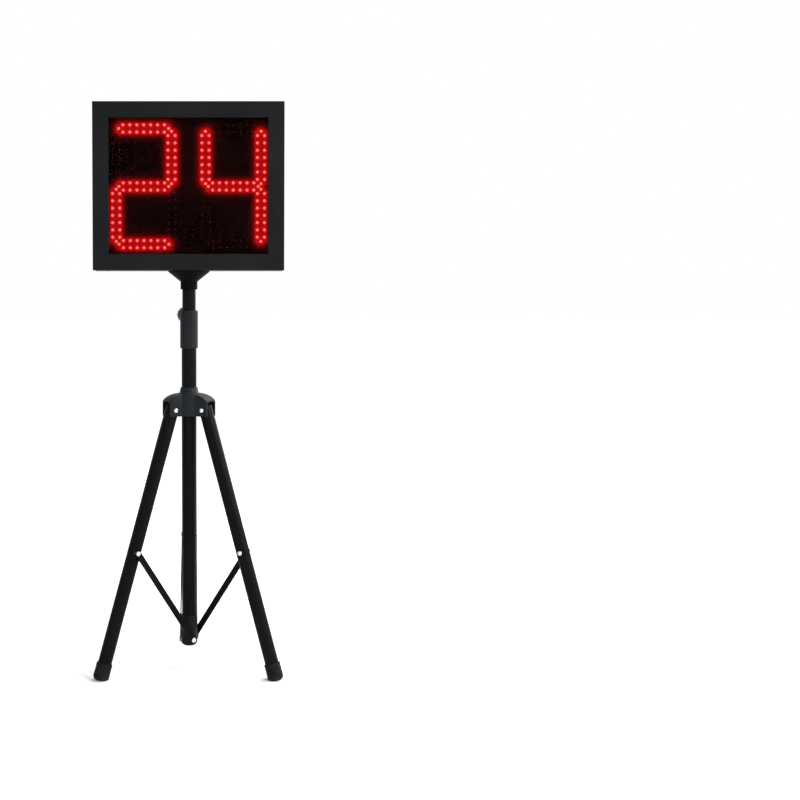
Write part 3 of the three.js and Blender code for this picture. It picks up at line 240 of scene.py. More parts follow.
class Shade:
    """A Principled material whose node inputs are filled in by name."""

    def __init__(self, name):
        self.material = bpy.data.materials.new(name)
        self.material.use_nodes = True
        self.nodes = self.material.node_tree.nodes
        self.links = self.material.node_tree.links
        self.nodes.clear()
        self.bsdf = self.nodes.new("ShaderNodeBsdfPrincipled")
        output = self.nodes.new("ShaderNodeOutputMaterial")
        self.links.new(self.bsdf.outputs[0], output.inputs["Surface"])
        self.place = self.nodes.new("ShaderNodeTexCoord").outputs["Object"]

    def fill(self, socket, value):
        if isinstance(value, bpy.types.NodeSocket):
            self.links.new(value, socket)
        else:
            socket.default_value = value

    def surface(self, **values):
        """Fills the shader's inputs, with _ for a space in their names, and gives the material."""
        for name, value in values.items():
            self.fill(self.bsdf.inputs[name.replace("_", " ")], value)
        return self.material

    def noise(self, scale, detail=2.0, roughness=0.5, stretch=None):
        node = self.nodes.new("ShaderNodeTexNoise")
        place = self.place
        if stretch:
            scaled = self.nodes.new("ShaderNodeMapping")
            scaled.inputs["Scale"].default_value = stretch
            self.links.new(place, scaled.inputs["Vector"])
            place = scaled.outputs[0]
        self.links.new(place, node.inputs["Vector"])
        node.inputs["Scale"].default_value = scale
        node.inputs["Detail"].default_value = detail
        node.inputs["Roughness"].default_value = roughness
        return node.outputs["Fac"]

    def cells(self, scale):
        node = self.nodes.new("ShaderNodeTexVoronoi")
        self.links.new(self.place, node.inputs["Vector"])
        node.inputs["Scale"].default_value = scale
        return node.outputs["Distance"]

    def remap(self, value, low, high, start=0.3, end=0.7):
        """A value from start to end, brought to the range from low to high."""
        node = self.nodes.new("ShaderNodeMapRange")
        self.links.new(value, node.inputs["Value"])
        for name, number in (("From Min", start), ("From Max", end), ("To Min", low), ("To Max", high)):
            node.inputs[name].default_value = number
        return node.outputs["Result"]

    def math(self, operation, first, second=None):
        node = self.nodes.new("ShaderNodeMath")
        node.operation = operation
        self.fill(node.inputs[0], first)
        if second is not None:
            self.fill(node.inputs[1], second)
        return node.outputs[0]

    def mix(self, factor, first, second):
        node = self.nodes.new("ShaderNodeMix")
        node.data_type = "RGBA"
        self.fill(node.inputs["Factor"], factor)
        self.fill(node.inputs[6], rgba(first))
        self.fill(node.inputs[7], rgba(second))
        return node.outputs[2]

    def bump(self, height, distance, strength=1.0):
        node = self.nodes.new("ShaderNodeBump")
        self.links.new(height, node.inputs["Height"])
        node.inputs["Distance"].default_value = distance
        node.inputs["Strength"].default_value = strength
        return node.outputs[0]

    def attribute(self, name):
        node = self.nodes.new("ShaderNodeAttribute")
        node.attribute_name = name
        return node.outputs["Fac"]


def rgba(value):
    return value if isinstance(value, bpy.types.NodeSocket) else (*value, 1.0)


def linear(*channels):
    """Linear colour from 0 to 255 display values."""
    return tuple(
        c / 255 / 12.92 if c / 255 <= 0.04045 else ((c / 255 + 0.055) / 1.055) ** 2.4 for c in channels
    )


def powder_coat(name, colour, roughness, gloss, grain=900, relief=0.00006):
    """Sprayed paint: slightly uneven in tone, with an orange peel and a little dust."""
    shade = Shade(name)
    broad = shade.noise(9, detail=3)
    dust = shade.noise(55, detail=5, roughness=0.65)
    peel = shade.noise(grain, detail=2)
    darker = tuple(c * 0.82 for c in colour)
    lighter = tuple(c * 1.22 + 0.0006 for c in colour)
    dusty = tuple(c * 1.6 + 0.002 for c in colour)
    tone = shade.mix(shade.remap(broad, 0.0, 1.0), darker, lighter)
    tone = shade.mix(shade.remap(dust, 0.0, 0.35, start=0.55, end=0.8), tone, dusty)
    return shade.surface(
        Base_Color=tone, Specular_IOR_Level=gloss, Roughness=shade.remap(dust, roughness - 0.06, roughness + 0.09),
        Normal=shade.bump(peel, relief),
    )


def moulded(name, colour, roughness, gloss, grain=1600, relief=0.00005):
    """Moulded plastic: flow marks, a fine cell texture and some scuffs."""
    shade = Shade(name)
    flow = shade.noise(22, detail=3, roughness=0.55)
    scuff = shade.noise(140, detail=4, roughness=0.7)
    texture = shade.cells(grain)
    darker = tuple(c * 0.86 for c in colour)
    lighter = tuple(c * 1.16 for c in colour)
    scuffed = tuple(c * 1.5 + 0.004 for c in colour)
    tone = shade.mix(shade.remap(flow, 0.0, 1.0), darker, lighter)
    tone = shade.mix(shade.remap(scuff, 0.0, 0.4, start=0.6, end=0.85), tone, scuffed)
    return shade.surface(
        Base_Color=tone, Specular_IOR_Level=gloss, Roughness=shade.remap(scuff, roughness - 0.05, roughness + 0.1),
        Normal=shade.bump(texture, relief, strength=0.6),
    )


def rubber_black():
    shade = Shade("rubber_black")
    bloom = shade.noise(30, detail=4, roughness=0.6)
    grit = shade.noise(700, detail=3, roughness=0.6)
    tone = shade.mix(shade.remap(bloom, 0.0, 1.0), linear(19, 19, 19), linear(29, 29, 28))
    low = shade.nodes.new("ShaderNodeSeparateXYZ")
    shade.links.new(shade.place, low.inputs[0])
    lowness = shade.remap(low.outputs["Z"], 1.0, 0.0, start=0.0, end=0.012)
    floor_dust = shade.math("MULTIPLY", lowness, shade.remap(bloom, 0.2, 0.8))
    tone = shade.mix(floor_dust, tone, linear(44, 43, 42))
    return shade.surface(
        Base_Color=tone, Specular_IOR_Level=0.1, Roughness=shade.remap(grit, 0.78, 0.95),
        Normal=shade.bump(grit, 0.0002, strength=0.5),
    )


def plated(name, colour, roughness, stretch=None):
    shade = Shade(name)
    cloud = shade.noise(60, detail=3)
    scratch = shade.noise(420, detail=5, roughness=0.65, stretch=stretch)
    tone = shade.mix(shade.remap(cloud, 0.0, 1.0), tuple(c * 0.9 for c in colour), colour)
    return shade.surface(
        Base_Color=tone, Metallic=1.0, Roughness=shade.remap(scratch, roughness * 0.6, roughness * 1.5),
        Normal=shade.bump(scratch, 0.00002, strength=0.5),
    )


def smoked_acrylic():
    shade = Shade("smoked_acrylic")
    haze = shade.noise(12, detail=4, roughness=0.6)
    smear = shade.noise(180, detail=4, roughness=0.6, stretch=(1, 1, 0.25))
    tint = shade.mix(shade.remap(haze, 0.0, 1.0), (0.80, 0.47, 0.47), (0.84, 0.52, 0.52))
    return shade.surface(
        Base_Color=tint, Transmission_Weight=1.0, IOR=1.2, Specular_IOR_Level=0.05,
        Specular_Tint=(0.22, 0.1, 0.1, 1.0),
        Roughness=shade.remap(smear, 0.0, 0.02, start=0.45, end=0.8),
    )


def segment_place(digit, letter):
    """The middle of a segment, and whether it stands upright."""
    across, height = SEGMENT_PLACES[letter]
    return DIGITS[digit][0] + across * COLUMN_OFFSET, DISPLAY_HEIGHT + height * BAR_SPACING, across != 0


def segment_lines():
    """Centre, half length and direction of every lit segment, in metres."""
    lines = []
    for digit, (_, lit) in DIGITS.items():
        for letter in lit:
            x, z, upright = segment_place(digit, letter)
            half = (BAR_SPACING / 2 if upright else COLUMN_OFFSET) - MODULE_HALF
            lines.append((x * MM, z * MM, half * MM, upright))
    return lines


def painted_glow_field(shade):
    """Two values: 1 along a lit segment, dying away beside it, for a painted glow; and 1 on the display's face, 0
    behind it.
    """
    split = shade.nodes.new("ShaderNodeSeparateXYZ")
    shade.links.new(shade.place, split.inputs[0])
    x, z = split.outputs["X"], split.outputs["Z"]
    nearest = None
    for centre_x, centre_z, half, upright in segment_lines():
        along, off = (z, x) if upright else (x, z)
        along_centre, off_centre = (centre_z, centre_x) if upright else (centre_x, centre_z)
        from_middle = shade.math("ABSOLUTE", shade.math("SUBTRACT", along, along_centre))
        beyond = shade.math("MAXIMUM", shade.math("SUBTRACT", from_middle, half), 0.0)
        aside = shade.math("SUBTRACT", off, off_centre)
        square = shade.math("ADD", shade.math("POWER", beyond, 2.0), shade.math("POWER", aside, 2.0))
        nearest = square if nearest is None else shade.math("MINIMUM", nearest, square)
    distance = shade.math("SQRT", nearest)
    front_plane = AXIS_Y + (MODULE_FACE + MODULE_THICKNESS) * MM
    front = shade.remap(split.outputs["Y"], 1.0, 0.0, front_plane + 0.3 * MM, front_plane + 0.6 * MM)
    fall = shade.math("DIVIDE", shade.math("SUBTRACT", GLOW_EDGE, distance), GLOW_DECAY)
    near = shade.math("MINIMUM", shade.math("EXPONENT", fall), 1.0)
    return near, front


def display_face(name):
    """Black board and reflector cups, with painted glow from the lamps that are lit beside them."""
    shade = Shade(name)
    near, front = painted_glow_field(shade)
    grain = shade.noise(900, detail=2)
    cup = shade.attribute("glow")
    # Painted glow: the board emits red beside the lit segments, the cups round lit lamps emit a bright red, and the
    # whole face emits a faint red.
    painted_halo = shade.mix(shade.math("MULTIPLY", near, front), BLACK, PAINTED_GLOW_RED)
    lit = shade.math("MULTIPLY", shade.math("POWER", cup, 2.4), shade.math("POWER", near, 3.0))
    painted_cup_glow = shade.mix(shade.math("MULTIPLY", lit, front), painted_halo, (1.7, 0.22, 0.19))
    painted_faint_glow = shade.mix(front, BLACK, (0.0006, 0.0001, 0.0001))
    add = shade.nodes.new("ShaderNodeVectorMath")
    add.operation = "ADD"
    shade.links.new(painted_cup_glow, add.inputs[0])
    shade.links.new(painted_faint_glow, add.inputs[1])
    base = shade.mix(shade.remap(shade.noise(40, detail=3), 0.0, 1.0), linear(5, 3, 3), linear(9, 5, 5))
    return shade.surface(
        Base_Color=base, Roughness=shade.remap(grain, 0.6, 0.8), Specular_IOR_Level=0.05,
        Emission_Color=add.outputs[0], Emission_Strength=1.0, Normal=shade.bump(grain, 0.00003),
    )


def lit_lens():
    shade = Shade("lit_led_lens")
    core = shade.attribute("glow")
    speck = shade.noise(500, detail=2)
    hue = shade.mix(shade.math("POWER", core, 0.6), (1.7, 0.23, 0.20), (2.6, 0.52, 0.47))
    return shade.surface(
        Base_Color=shade.mix(shade.remap(speck, 0.0, 1.0), (0.8, 0.03, 0.02), (0.95, 0.05, 0.04)),
        Roughness=0.25, Specular_IOR_Level=0.2, Emission_Color=hue, Emission_Strength=1.0,
    )


def dark_lens():
    shade = Shade("unlit_led_lens")
    near, front = painted_glow_field(shade)
    core = shade.attribute("glow")
    speck = shade.noise(500, detail=2)
    core = shade.math("POWER", core, 1.5)
    tone = shade.mix(core, linear(24, 6, 8), linear(40, 14, 16))
    # Painted glow: the unlit lenses emit a faint red in their middles, and the red of the lit segments beside them.
    painted_lens_glow = shade.mix(core, BLACK, linear(46, 18, 21))
    return shade.surface(
        Base_Color=tone, Roughness=shade.remap(speck, 0.5, 0.65), Specular_IOR_Level=0.05,
        Emission_Color=shade.mix(shade.math("MULTIPLY", near, front), painted_lens_glow, PAINTED_GLOW_RED),
        Emission_Strength=1.0,
    )


def circuit_board():
    shade = Shade("circuit_board_green")
    traces = shade.nodes.new("ShaderNodeTexBrick")
    scaled = shade.nodes.new("ShaderNodeMapping")
    scaled.inputs["Rotation"].default_value = (math.pi / 2, 0, 0)
    shade.links.new(shade.place, scaled.inputs["Vector"])
    shade.links.new(scaled.outputs[0], traces.inputs["Vector"])
    traces.inputs["Scale"].default_value = 120
    traces.inputs["Mortar Size"].default_value = 0.05
    tone = shade.mix(traces.outputs["Fac"], linear(24, 66, 38), linear(52, 104, 62))
    wear = shade.remap(shade.noise(300), 0.35, 0.55)
    return shade.surface(Base_Color=tone, Roughness=wear, Specular_IOR_Level=0.4)


COLOURS = {
    "case_extrusion": powder_coat("case_powder_coat", linear(20, 21, 23), roughness=0.55, gloss=0.08),
    "window": smoked_acrylic(),
    "module_panel": display_face("display_board"),
    "lit_led": lit_lens(),
    "dark_led": dark_lens(),
    "cover_sheet": powder_coat("cover_powder_coat", linear(22, 23, 24), roughness=0.6, gloss=0.1),
    "circuit_board": circuit_board(),
    "power_can": plated("power_can_sheet", (0.55, 0.57, 0.58), roughness=0.4, stretch=(1, 1, 12)),
    "zinc_steel": plated("zinc_plate", (0.55, 0.56, 0.55), roughness=0.32),
    "black_tube": powder_coat("tube_powder_coat", linear(9, 11, 12), roughness=0.4, gloss=0.045, grain=1100,
                              relief=0.00004),
    "cast_flange": powder_coat("flange_paint", linear(7, 8, 10), roughness=0.55, gloss=0.025, grain=500,
                               relief=0.0001),
    "black_plastic": moulded("black_moulding", linear(29, 32, 35), roughness=0.46, gloss=0.08),
    "grey_plastic": moulded("grey_moulding", linear(84, 86, 88), roughness=0.48, gloss=0.2),
    "rubber": rubber_black(),
    "rivet_steel": plated("rivet_plate", (0.70, 0.71, 0.72), roughness=0.26),
}
# A darker copy of the black moulding for the spider at the foot of the stand: painted shade.
SHADED_MOULDING = moulded("shaded_black_moulding", linear(19, 20, 21), roughness=0.5, gloss=0.07)
MARKING = moulded("white_marking", linear(205, 205, 200), roughness=0.5, gloss=0.3)


# Mesh helpers

def dress(piece, slot):
    piece.data.materials.clear()
    piece.data.materials.append(COLOURS[slot])


def is_plain(face):
    """Whether a face keeps its own normal: square to an axis, or large with only bevels and corners round it."""
    if max(abs(part) for part in face.normal) > SQUARE:
        return True
    if face.calc_area() < PLAIN_AREA:
        return False
    slight, steep = PLAIN_ANGLES
    angles = [math.degrees(edge.calc_face_angle(0)) for edge in face.edges if len(edge.link_faces) == 2]
    return all(angle < slight or angle > steep for angle in angles)


def finish_mesh(name, bm, matrix, sharp):
    """A mesh in the row frame, in metres, from a form given in millimetres about the mast axis."""
    bm.transform(Matrix.Translation((0, AXIS_Y, 0)) @ Matrix.Scale(MM, 4) @ matrix)
    bmesh.ops.recalc_face_normals(bm, faces=bm.faces)
    bm.normal_update()
    plain = [is_plain(face) for face in bm.faces]
    mesh = bpy.data.meshes.new(name)
    bm.to_mesh(mesh)
    bm.free()
    if "custom_normal" in mesh.attributes:
        mesh.attributes.remove(mesh.attributes["custom_normal"])
    mesh.set_sharp_from_angle(angle=math.radians(sharp))
    for polygon, flat in zip(mesh.polygons, plain):
        polygon.use_smooth = not flat
    return mesh


def piece_from(name, bm, body, slot, matrix=Matrix.Identity(4), replaces=(), sharp=35):
    """A piece of the visual model: its form, the body it rides on, its slot, and the CAD nodes that it replaces."""
    piece = bpy.data.objects.new(name, finish_mesh(name, bm, matrix, sharp))
    bpy.context.scene.collection.objects.link(piece)
    dress(piece, slot)
    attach(piece, body)
    if replaces:
        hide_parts(*replaces)
    return piece


def lathe(outline, sides=ROUND_SIDES):
    """A form turned about Z from a list of (radius, height); it is closed where the list ends at its start."""
    bm = bmesh.new()
    closed = outline[0] == outline[-1]
    rings = []
    for radius, height in outline[:-1] if closed else outline:
        if radius < 1e-6:
            rings.append([bm.verts.new((0, 0, height))])
            continue
        rings.append([
            bm.verts.new((radius * math.cos(TURN * k / sides), radius * math.sin(TURN * k / sides), height))
            for k in range(sides)
        ])
    pairs = list(zip(rings, rings[1:])) + ([(rings[-1], rings[0])] if closed else [])
    for first, second in pairs:
        for k in range(sides):
            j = (k + 1) % sides
            corners = [ring[index % len(ring)] for ring, index in ((first, k), (first, j), (second, j), (second, k))]
            unique = list(dict.fromkeys(corners))
            if len(unique) > 2:
                bm.faces.new(unique)
    return bm


def arc(centre, radius, start, end, steps=6):
    """Points of a circle's arc in a profile, in degrees."""
    return [
        (centre[0] + radius * math.cos(math.radians(start + (end - start) * k / steps)),
         centre[1] + radius * math.sin(math.radians(start + (end - start) * k / steps)))
        for k in range(steps + 1)
    ]


def quarter(steps):
    """The angles of a quarter turn, in radians."""
    return [TURN / 4 * k / steps for k in range(steps + 1)]


def turn_z(degrees):
    return Matrix.Rotation(math.radians(degrees), 4, "Z")


def shift(x=0, y=0, z=0):
    return Matrix.Translation((x, y, z))


def along_x(azimuth, height):
    """Places a form that stands along Z so that it points outwards at an azimuth and a height."""
    return shift(z=height) @ turn_z(azimuth) @ Matrix.Rotation(TURN / 4, 4, "Y")


def leg_plane(side):
    return turn_z(LEG_AZIMUTHS[side])


def across_leg(side, reach, height):
    """Places a form that stands along Z across a leg, at a pivot."""
    return leg_plane(side) @ shift(reach, 0, height) @ Matrix.Rotation(-TURN / 4, 4, "X")


def soften(bm, width, angle=32, along=None, below=None):
    """Rounds the sharp edges of a form, or of those only the ones along an axis or below a height."""
    edges = [e for e in bm.edges if len(e.link_faces) == 2 and e.calc_face_angle(0) > math.radians(angle)]
    if along is not None:
        edges = [e for e in edges if abs((e.verts[1].co - e.verts[0].co).normalized()[along]) > 0.999]
    if below is not None:
        edges = [e for e in edges if max(v.co.z for v in e.verts) < below]
    if edges:
        bmesh.ops.bevel(
            bm, geom=edges, offset=width, offset_type="OFFSET", segments=EDGE_STEPS, profile=0.5, affect="EDGES",
            clamp_overlap=True,
        )


def refined(node, width, along=None):
    """Replaces a CAD node by itself with its edges rounded."""
    bm = bmesh.new()
    bm.from_mesh(frame["nodes"][node].data)
    bmesh.ops.remove_doubles(bm, verts=bm.verts, dist=2e-6)
    bmesh.ops.dissolve_limit(bm, angle_limit=math.radians(0.6), verts=bm.verts, edges=bm.edges)
    soften(bm, width * MM, along=along)
    back = Matrix.Scale(1 / MM, 4) @ Matrix.Translation((0, -AXIS_Y, 0))
    piece_from(node + "_finished", bm, BODY_OF[node], SLOT_OF[node], back, (node,))


def solid(name, bm):
    """A temporary object for a boolean."""
    bmesh.ops.recalc_face_normals(bm, faces=bm.faces)
    mesh = bpy.data.meshes.new(name)
    bm.to_mesh(mesh)
    bm.free()
    made = bpy.data.objects.new(name, mesh)
    bpy.context.scene.collection.objects.link(made)
    return made


def combine(target, tool, operation):
    """Changes a temporary object by another, which is removed."""
    modifier = target.modifiers.new("join", "BOOLEAN")
    modifier.operation = operation
    modifier.object = tool
    modifier.solver = "EXACT"
    bpy.context.view_layer.update()
    mesh = bpy.data.meshes.new_from_object(target.evaluated_get(bpy.context.evaluated_depsgraph_get()))
    target.modifiers.clear()
    target.data = mesh
    bpy.data.objects.remove(tool)


def taken(made):
    """The form of a temporary object, which is removed."""
    bm = bmesh.new()
    bm.from_mesh(made.data)
    bpy.data.objects.remove(made)
    return bm


def add_copy(bm, one, matrix):
    """Adds a form to another one, at a place."""
    one.transform(matrix)
    mesh = bpy.data.meshes.new("one")
    one.to_mesh(mesh)
    one.free()
    bm.from_mesh(mesh)
    bpy.data.meshes.remove(mesh)


def box_form(size, centre):
    bm = bmesh.new()
    bmesh.ops.create_cube(bm, size=1.0, matrix=Matrix.Translation(centre) @ Matrix.Diagonal((*size, 1)))
    return bm


def moved(bm, matrix):
    bm.transform(matrix)
    return bm


def prism(outline, depth):
    """A closed outline in the X-Z plane, given depth along +Y."""
    bm = bmesh.new()
    near = [bm.verts.new((x, 0, z)) for x, z in outline]
    far = [bm.verts.new((x, depth, z)) for x, z in outline]
    bm.faces.new(near)
    bm.faces.new(list(reversed(far)))
    count = len(outline)
    for k in range(count):
        bm.faces.new([near[k], far[k], far[(k + 1) % count], near[(k + 1) % count]])
    return bm


# Display: digits

def lamp_places(length):
    """Where the lamps of a segment stand, along it and across it: one at each end and two rows between."""
    last = length / 2 - END_LAMP_INSET - END_LAMP_STEP
    pitch = 2 * last / (LAMPS_PER_ROW - 1)
    places = [(-last - END_LAMP_STEP, 0), (last + END_LAMP_STEP, 0)]
    for k in range(LAMPS_PER_ROW):
        places += [(k * pitch - last, ROW_GAP / 2), (k * pitch - last, -ROW_GAP / 2)]
    return places


def facing_front(x, z):
    """Places a form that stands along Z on the face of the modules."""
    return shift(x, MODULE_FACE, z) @ Matrix.Rotation(TURN / 4, 4, "X")


def add_glow(piece, centres, reach):
    """Writes how near each vertex is to the middle of its lamp, from 0 to 1."""
    glow = piece.data.attributes.new("glow", "FLOAT", "POINT")
    spots = [(x * MM, z * MM) for x, z in centres]
    for index, vertex in enumerate(piece.data.vertices):
        near = min(math.hypot(vertex.co.x - x, vertex.co.z - z) for x, z in spots)
        glow.data[index].value = max(0.0, 1 - near / (reach * MM))


def led_lenses(name, centres, slot):
    bm = bmesh.new()
    crown = [(LAMP_RADIUS * math.cos(a), LAMP_SHOULDER + (LAMP_HEIGHT - LAMP_SHOULDER) * math.sin(a))
             for a in quarter(5)]
    rim = LAMP_RADIUS + LAMP_FLANGE
    outline = [(0, LAMP_SEAT), (rim, LAMP_SEAT), (rim, LAMP_FLANGE_TOP), (LAMP_RADIUS, LAMP_NECK)] + crown[:-1]
    outline += [(0, LAMP_HEIGHT)]
    for x, z in centres:
        add_copy(bm, lathe(outline, LAMP_SIDES), facing_front(x, z))
    piece = piece_from(name, bm, "display", slot, sharp=50)
    add_glow(piece, centres, LAMP_RADIUS)


def reflector_cups(name, centres):
    """Shallow cups in the module's face, one round each lamp."""
    bm = bmesh.new()
    outline = [(LAMP_RADIUS + CUP_GAP, CUP_ROOT)] + CUP_PROFILE + [(CUP_RADIUS, CUP_ROOT)]
    for x, z in centres:
        add_copy(bm, lathe(outline, CUP_SIDES), facing_front(x, z))
    piece = piece_from(name, bm, "display", "module_panel")
    add_glow(piece, centres, CUP_RADIUS)


def module_base(name, outline, node):
    bm = prism(outline, MODULE_THICKNESS)
    soften(bm, MODULE_EDGE)
    bm.transform(shift(0, MODULE_FACE, 0))
    piece_from(name, bm, "display", "module_panel", replaces=(node,))


def digit_segment(digit, letter):
    x0, z0, upright = segment_place(digit, letter)
    length = BAR_SPACING if upright else 2 * COLUMN_OFFSET
    to_place = (lambda p: (x0 + p[1], z0 + p[0])) if upright else (lambda p: (x0 + p[0], z0 + p[1]))
    tip = length / 2 - MODULE_GAP
    shoulder = tip - MODULE_HALF
    outline = [(-tip, 0), (-shoulder, -MODULE_HALF), (shoulder, -MODULE_HALF), (tip, 0),
               (shoulder, MODULE_HALF), (-shoulder, MODULE_HALF)]
    centres = [to_place(p) for p in lamp_places(length)]
    node = f"{digit}_segment_{letter}"
    module_base(node + "_base", [to_place(p) for p in outline], node)
    reflector_cups(node + "_cups", centres)
    led_lenses(node + "_lenses", centres, "lit_led" if letter in DIGITS[digit][1] else "dark_led")


def decimal_point():
    z0 = DISPLAY_HEIGHT - POINT_DROP
    half = MODULE_HALF
    outline = [(-half, z0 - half), (half, z0 - half), (half, z0 + half), (-half, z0 + half)]
    centres = [(x * ROW_GAP / 2, z0 + z * ROW_GAP / 2) for x in (-1, 1) for z in (-1, 1)]
    module_base("decimal_point_base", outline, "decimal_point")
    reflector_cups("decimal_point_cups", centres)
    led_lenses("decimal_point_lenses", centres, "dark_led")


# Display: rear

def screw_head(radius, height):
    """Pan head with a cross recess, its top towards +Z."""
    rim, edge = height * 0.45, height * 0.55
    outline = [(0, SCREW_SEAT), (radius, SCREW_SEAT), (radius, rim)]
    outline += arc((radius - edge, rim), edge, 0, 90) + [(0, height)]
    head = solid("head", lathe(outline, SCREW_SIDES))
    for angle in (0, 90):
        cutter = box_form((radius * 1.25, radius * 0.28, height), (0, 0, height * 0.9))
        combine(head, solid("cutter", moved(cutter, turn_z(angle))), "DIFFERENCE")
    return taken(head)


def screws(name, size, places):
    """Screws in the rear cover as one piece, each turned a little further than the last."""
    rearward = Matrix.Rotation(-TURN / 4, 4, "X")
    pattern = screw_head(*size)
    bm = bmesh.new()
    for k, place in enumerate(places):
        add_copy(bm, pattern.copy(), shift(*place) @ rearward @ turn_z(k * SCREW_TURN))
    pattern.free()
    piece_from(name, bm, "display", "zinc_steel")


def rear_details():
    far, near = COVER_SCREW_X
    rows = (DISPLAY_HEIGHT - COVER_SCREW_Z, DISPLAY_HEIGHT + COVER_SCREW_Z)
    places = [(x, COVER_FACE, z) for z in rows for x in (-far, -near, near, far)]
    places += [(x, COVER_FACE, DISPLAY_HEIGHT) for x in (-far, far)]
    screws("cover_screws", COVER_SCREW, places)
    fitting = DISPLAY_HEIGHT - FITTING_DROP
    places = [(INLET_X + side * INLET_SCREW_OFFSET, COVER_FACE, fitting) for side in (-1, 1)]
    screws("inlet_screws", INLET_SCREW, places)
    middle = COVER_FACE + INLET_FRAME - INLET_DEPTH + INLET_BLADE[1] / 2
    for side, (across, rise) in INLET_BLADE_PLACES.items():
        blade = box_form(INLET_BLADE, (INLET_X + across, middle, fitting + rise))
        soften(blade, INLET_BLADE_EDGE)
        piece_from(f"inlet_blade_{side}", blade, "display", "zinc_steel")


def rocker_marks():
    """A bar at one end of the rocker and a ring at the other, raised a little from its faces."""
    pivot = shift(*ROCKER_PIVOT, DISPLAY_HEIGHT - FITTING_DROP) @ turn_z(ROCKER_TILT)
    reach, rise = ROCKER_END
    lean = math.degrees(math.atan2(rise, reach))
    height = ROCKER_MIDDLE + MARK_OFFSET * rise / reach + MARK_LIFT
    ring = moved(lathe(RING_MARK, SCREW_SIDES), Matrix.Rotation(TURN / 4, 4, "X"))
    for name, form, side in (("rocker_bar", box_form(BAR_MARK, (0, 0, 0)), -1), ("rocker_ring", ring, 1)):
        form.transform(pivot @ shift(side * MARK_OFFSET, height, 0) @ turn_z(lean * side))
        piece = piece_from(name, form, "power_rocker", "grey_plastic")
        piece.data.materials[0] = MARKING


# Mast

def round_piece(name, outline, body, slot, matrix=Matrix.Identity(4), replaces=(), sides=ROUND_SIDES):
    return piece_from(name, lathe(outline, sides), body, slot, matrix, replaces)


def tube_outline(radius, bore, bottom, top):
    return [(bore, bottom), (radius - TUBE_EDGE, bottom), (radius, bottom + TUBE_EDGE), (radius, top - TUBE_EDGE),
            (radius - TUBE_EDGE, top), (bore, top), (bore, bottom)]


def mast():
    for node, body, sizes in (("inner_tube", "mast", INNER_TUBE), ("outer_tube", "stand", OUTER_TUBE)):
        round_piece(node + "_round", tube_outline(*sizes), body, "black_tube", replaces=(node,))


def flange():
    """The flared flange with its collar, and the screw in the collar."""
    socket = FLANGE_BOTTOM + FLANGE_SOCKET
    outline = [(0, socket), (FLANGE_BORE, socket), (FLANGE_BORE, FLANGE_BOTTOM)]
    outline += arc((COLLAR_RADIUS - COLLAR_EDGE, FLANGE_BOTTOM + COLLAR_EDGE), COLLAR_EDGE, -90, 0, 5)
    outline += [(COLLAR_RADIUS, COLLAR_TOP)]
    outline += arc((COLLAR_RADIUS + COLLAR_FILLET, COLLAR_TOP), COLLAR_FILLET, 180, 140, 4)
    rim = FLANGE_RADIUS - FLANGE_RIM_EDGE
    outline += [(rim, FLANGE_TOP - FLANGE_RIM)]
    outline += arc((rim, FLANGE_TOP - FLANGE_RIM_CENTRE), FLANGE_RIM_EDGE, -60, 0, 3)
    outline += [(FLANGE_RADIUS, FLANGE_TOP - 0.1), (0, FLANGE_TOP - 0.1)]
    round_piece("flange_round", outline, "display", "cast_flange", replaces=("mounting_flange",))
    aim = along_x(*FLANGE_SCREW_AIM)
    round_piece("flange_screw_round", FLANGE_SCREW, "display", "zinc_steel", aim, ("flange_screw",), SCREW_SIDES)


def lobed_head(radius, depth, bevel, seat):
    """A lobed knob head about Z, rounded at both ends, with a shallow dish in its outer face."""
    sides = KNOB_LOBES * 8
    dish_rim, dish_floor = (radius * share for share in KNOB_DISH)
    low = [(bevel * (1 - math.sin(a)), seat + bevel * (1 - math.cos(a))) for a in quarter(4)]
    high = [(inset, 2 * seat + depth - z) for inset, z in reversed(low)]
    dish = [(dish_rim, seat + depth), (dish_floor, seat + depth - KNOB_DISH_DEPTH)]
    bm = bmesh.new()
    rings = []
    for inset, z in low + high + dish:
        even = max(0.0, min(1.0, (inset - bevel) / (dish_rim - bevel)))
        ring = []
        for k in range(sides):
            angle = TURN * k / sides
            lobed = radius * (1 - KNOB_LOBE_DIP * (1 - math.cos(KNOB_LOBES * angle)) / 2)
            reach = (lobed - inset) * (1 - even) + (radius - inset) * even
            ring.append(bm.verts.new((reach * math.cos(angle), reach * math.sin(angle), z)))
        rings.append(ring)
    for first, second in zip(rings, rings[1:]):
        for k in range(sides):
            j = (k + 1) % sides
            bm.faces.new([first[k], first[j], second[j], second[k]])
    bm.faces.new(list(reversed(rings[0])))
    bm.faces.new(rings[-1])
    return bm


def hand_knob(name, body, aim, radius, depth, bevel, seat, stem, tip):
    """A knob's head, its stem, and a metal insert in the head's dish."""
    place = along_x(*aim)
    face = seat + depth
    head = lobed_head(radius, depth, bevel, seat)
    piece_from(name + "_head", head, body, "grey_plastic", place, (name,), sharp=40)
    shank = [(0, tip), (stem - 0.4, tip), (stem, tip + 0.5), (stem, seat + 2), (0, seat + 2)]
    round_piece(name + "_stem", shank, body, "zinc_steel", place, (name,), PIN_SIDES)
    cap = [(0, face - 2), (radius * 0.3, face - 2), (radius * 0.3, face - 0.5), (radius * 0.26, face - 0.2),
           (0, face - 0.15)]
    round_piece(name + "_insert", cap, body, "zinc_steel", place, (), PIN_SIDES)


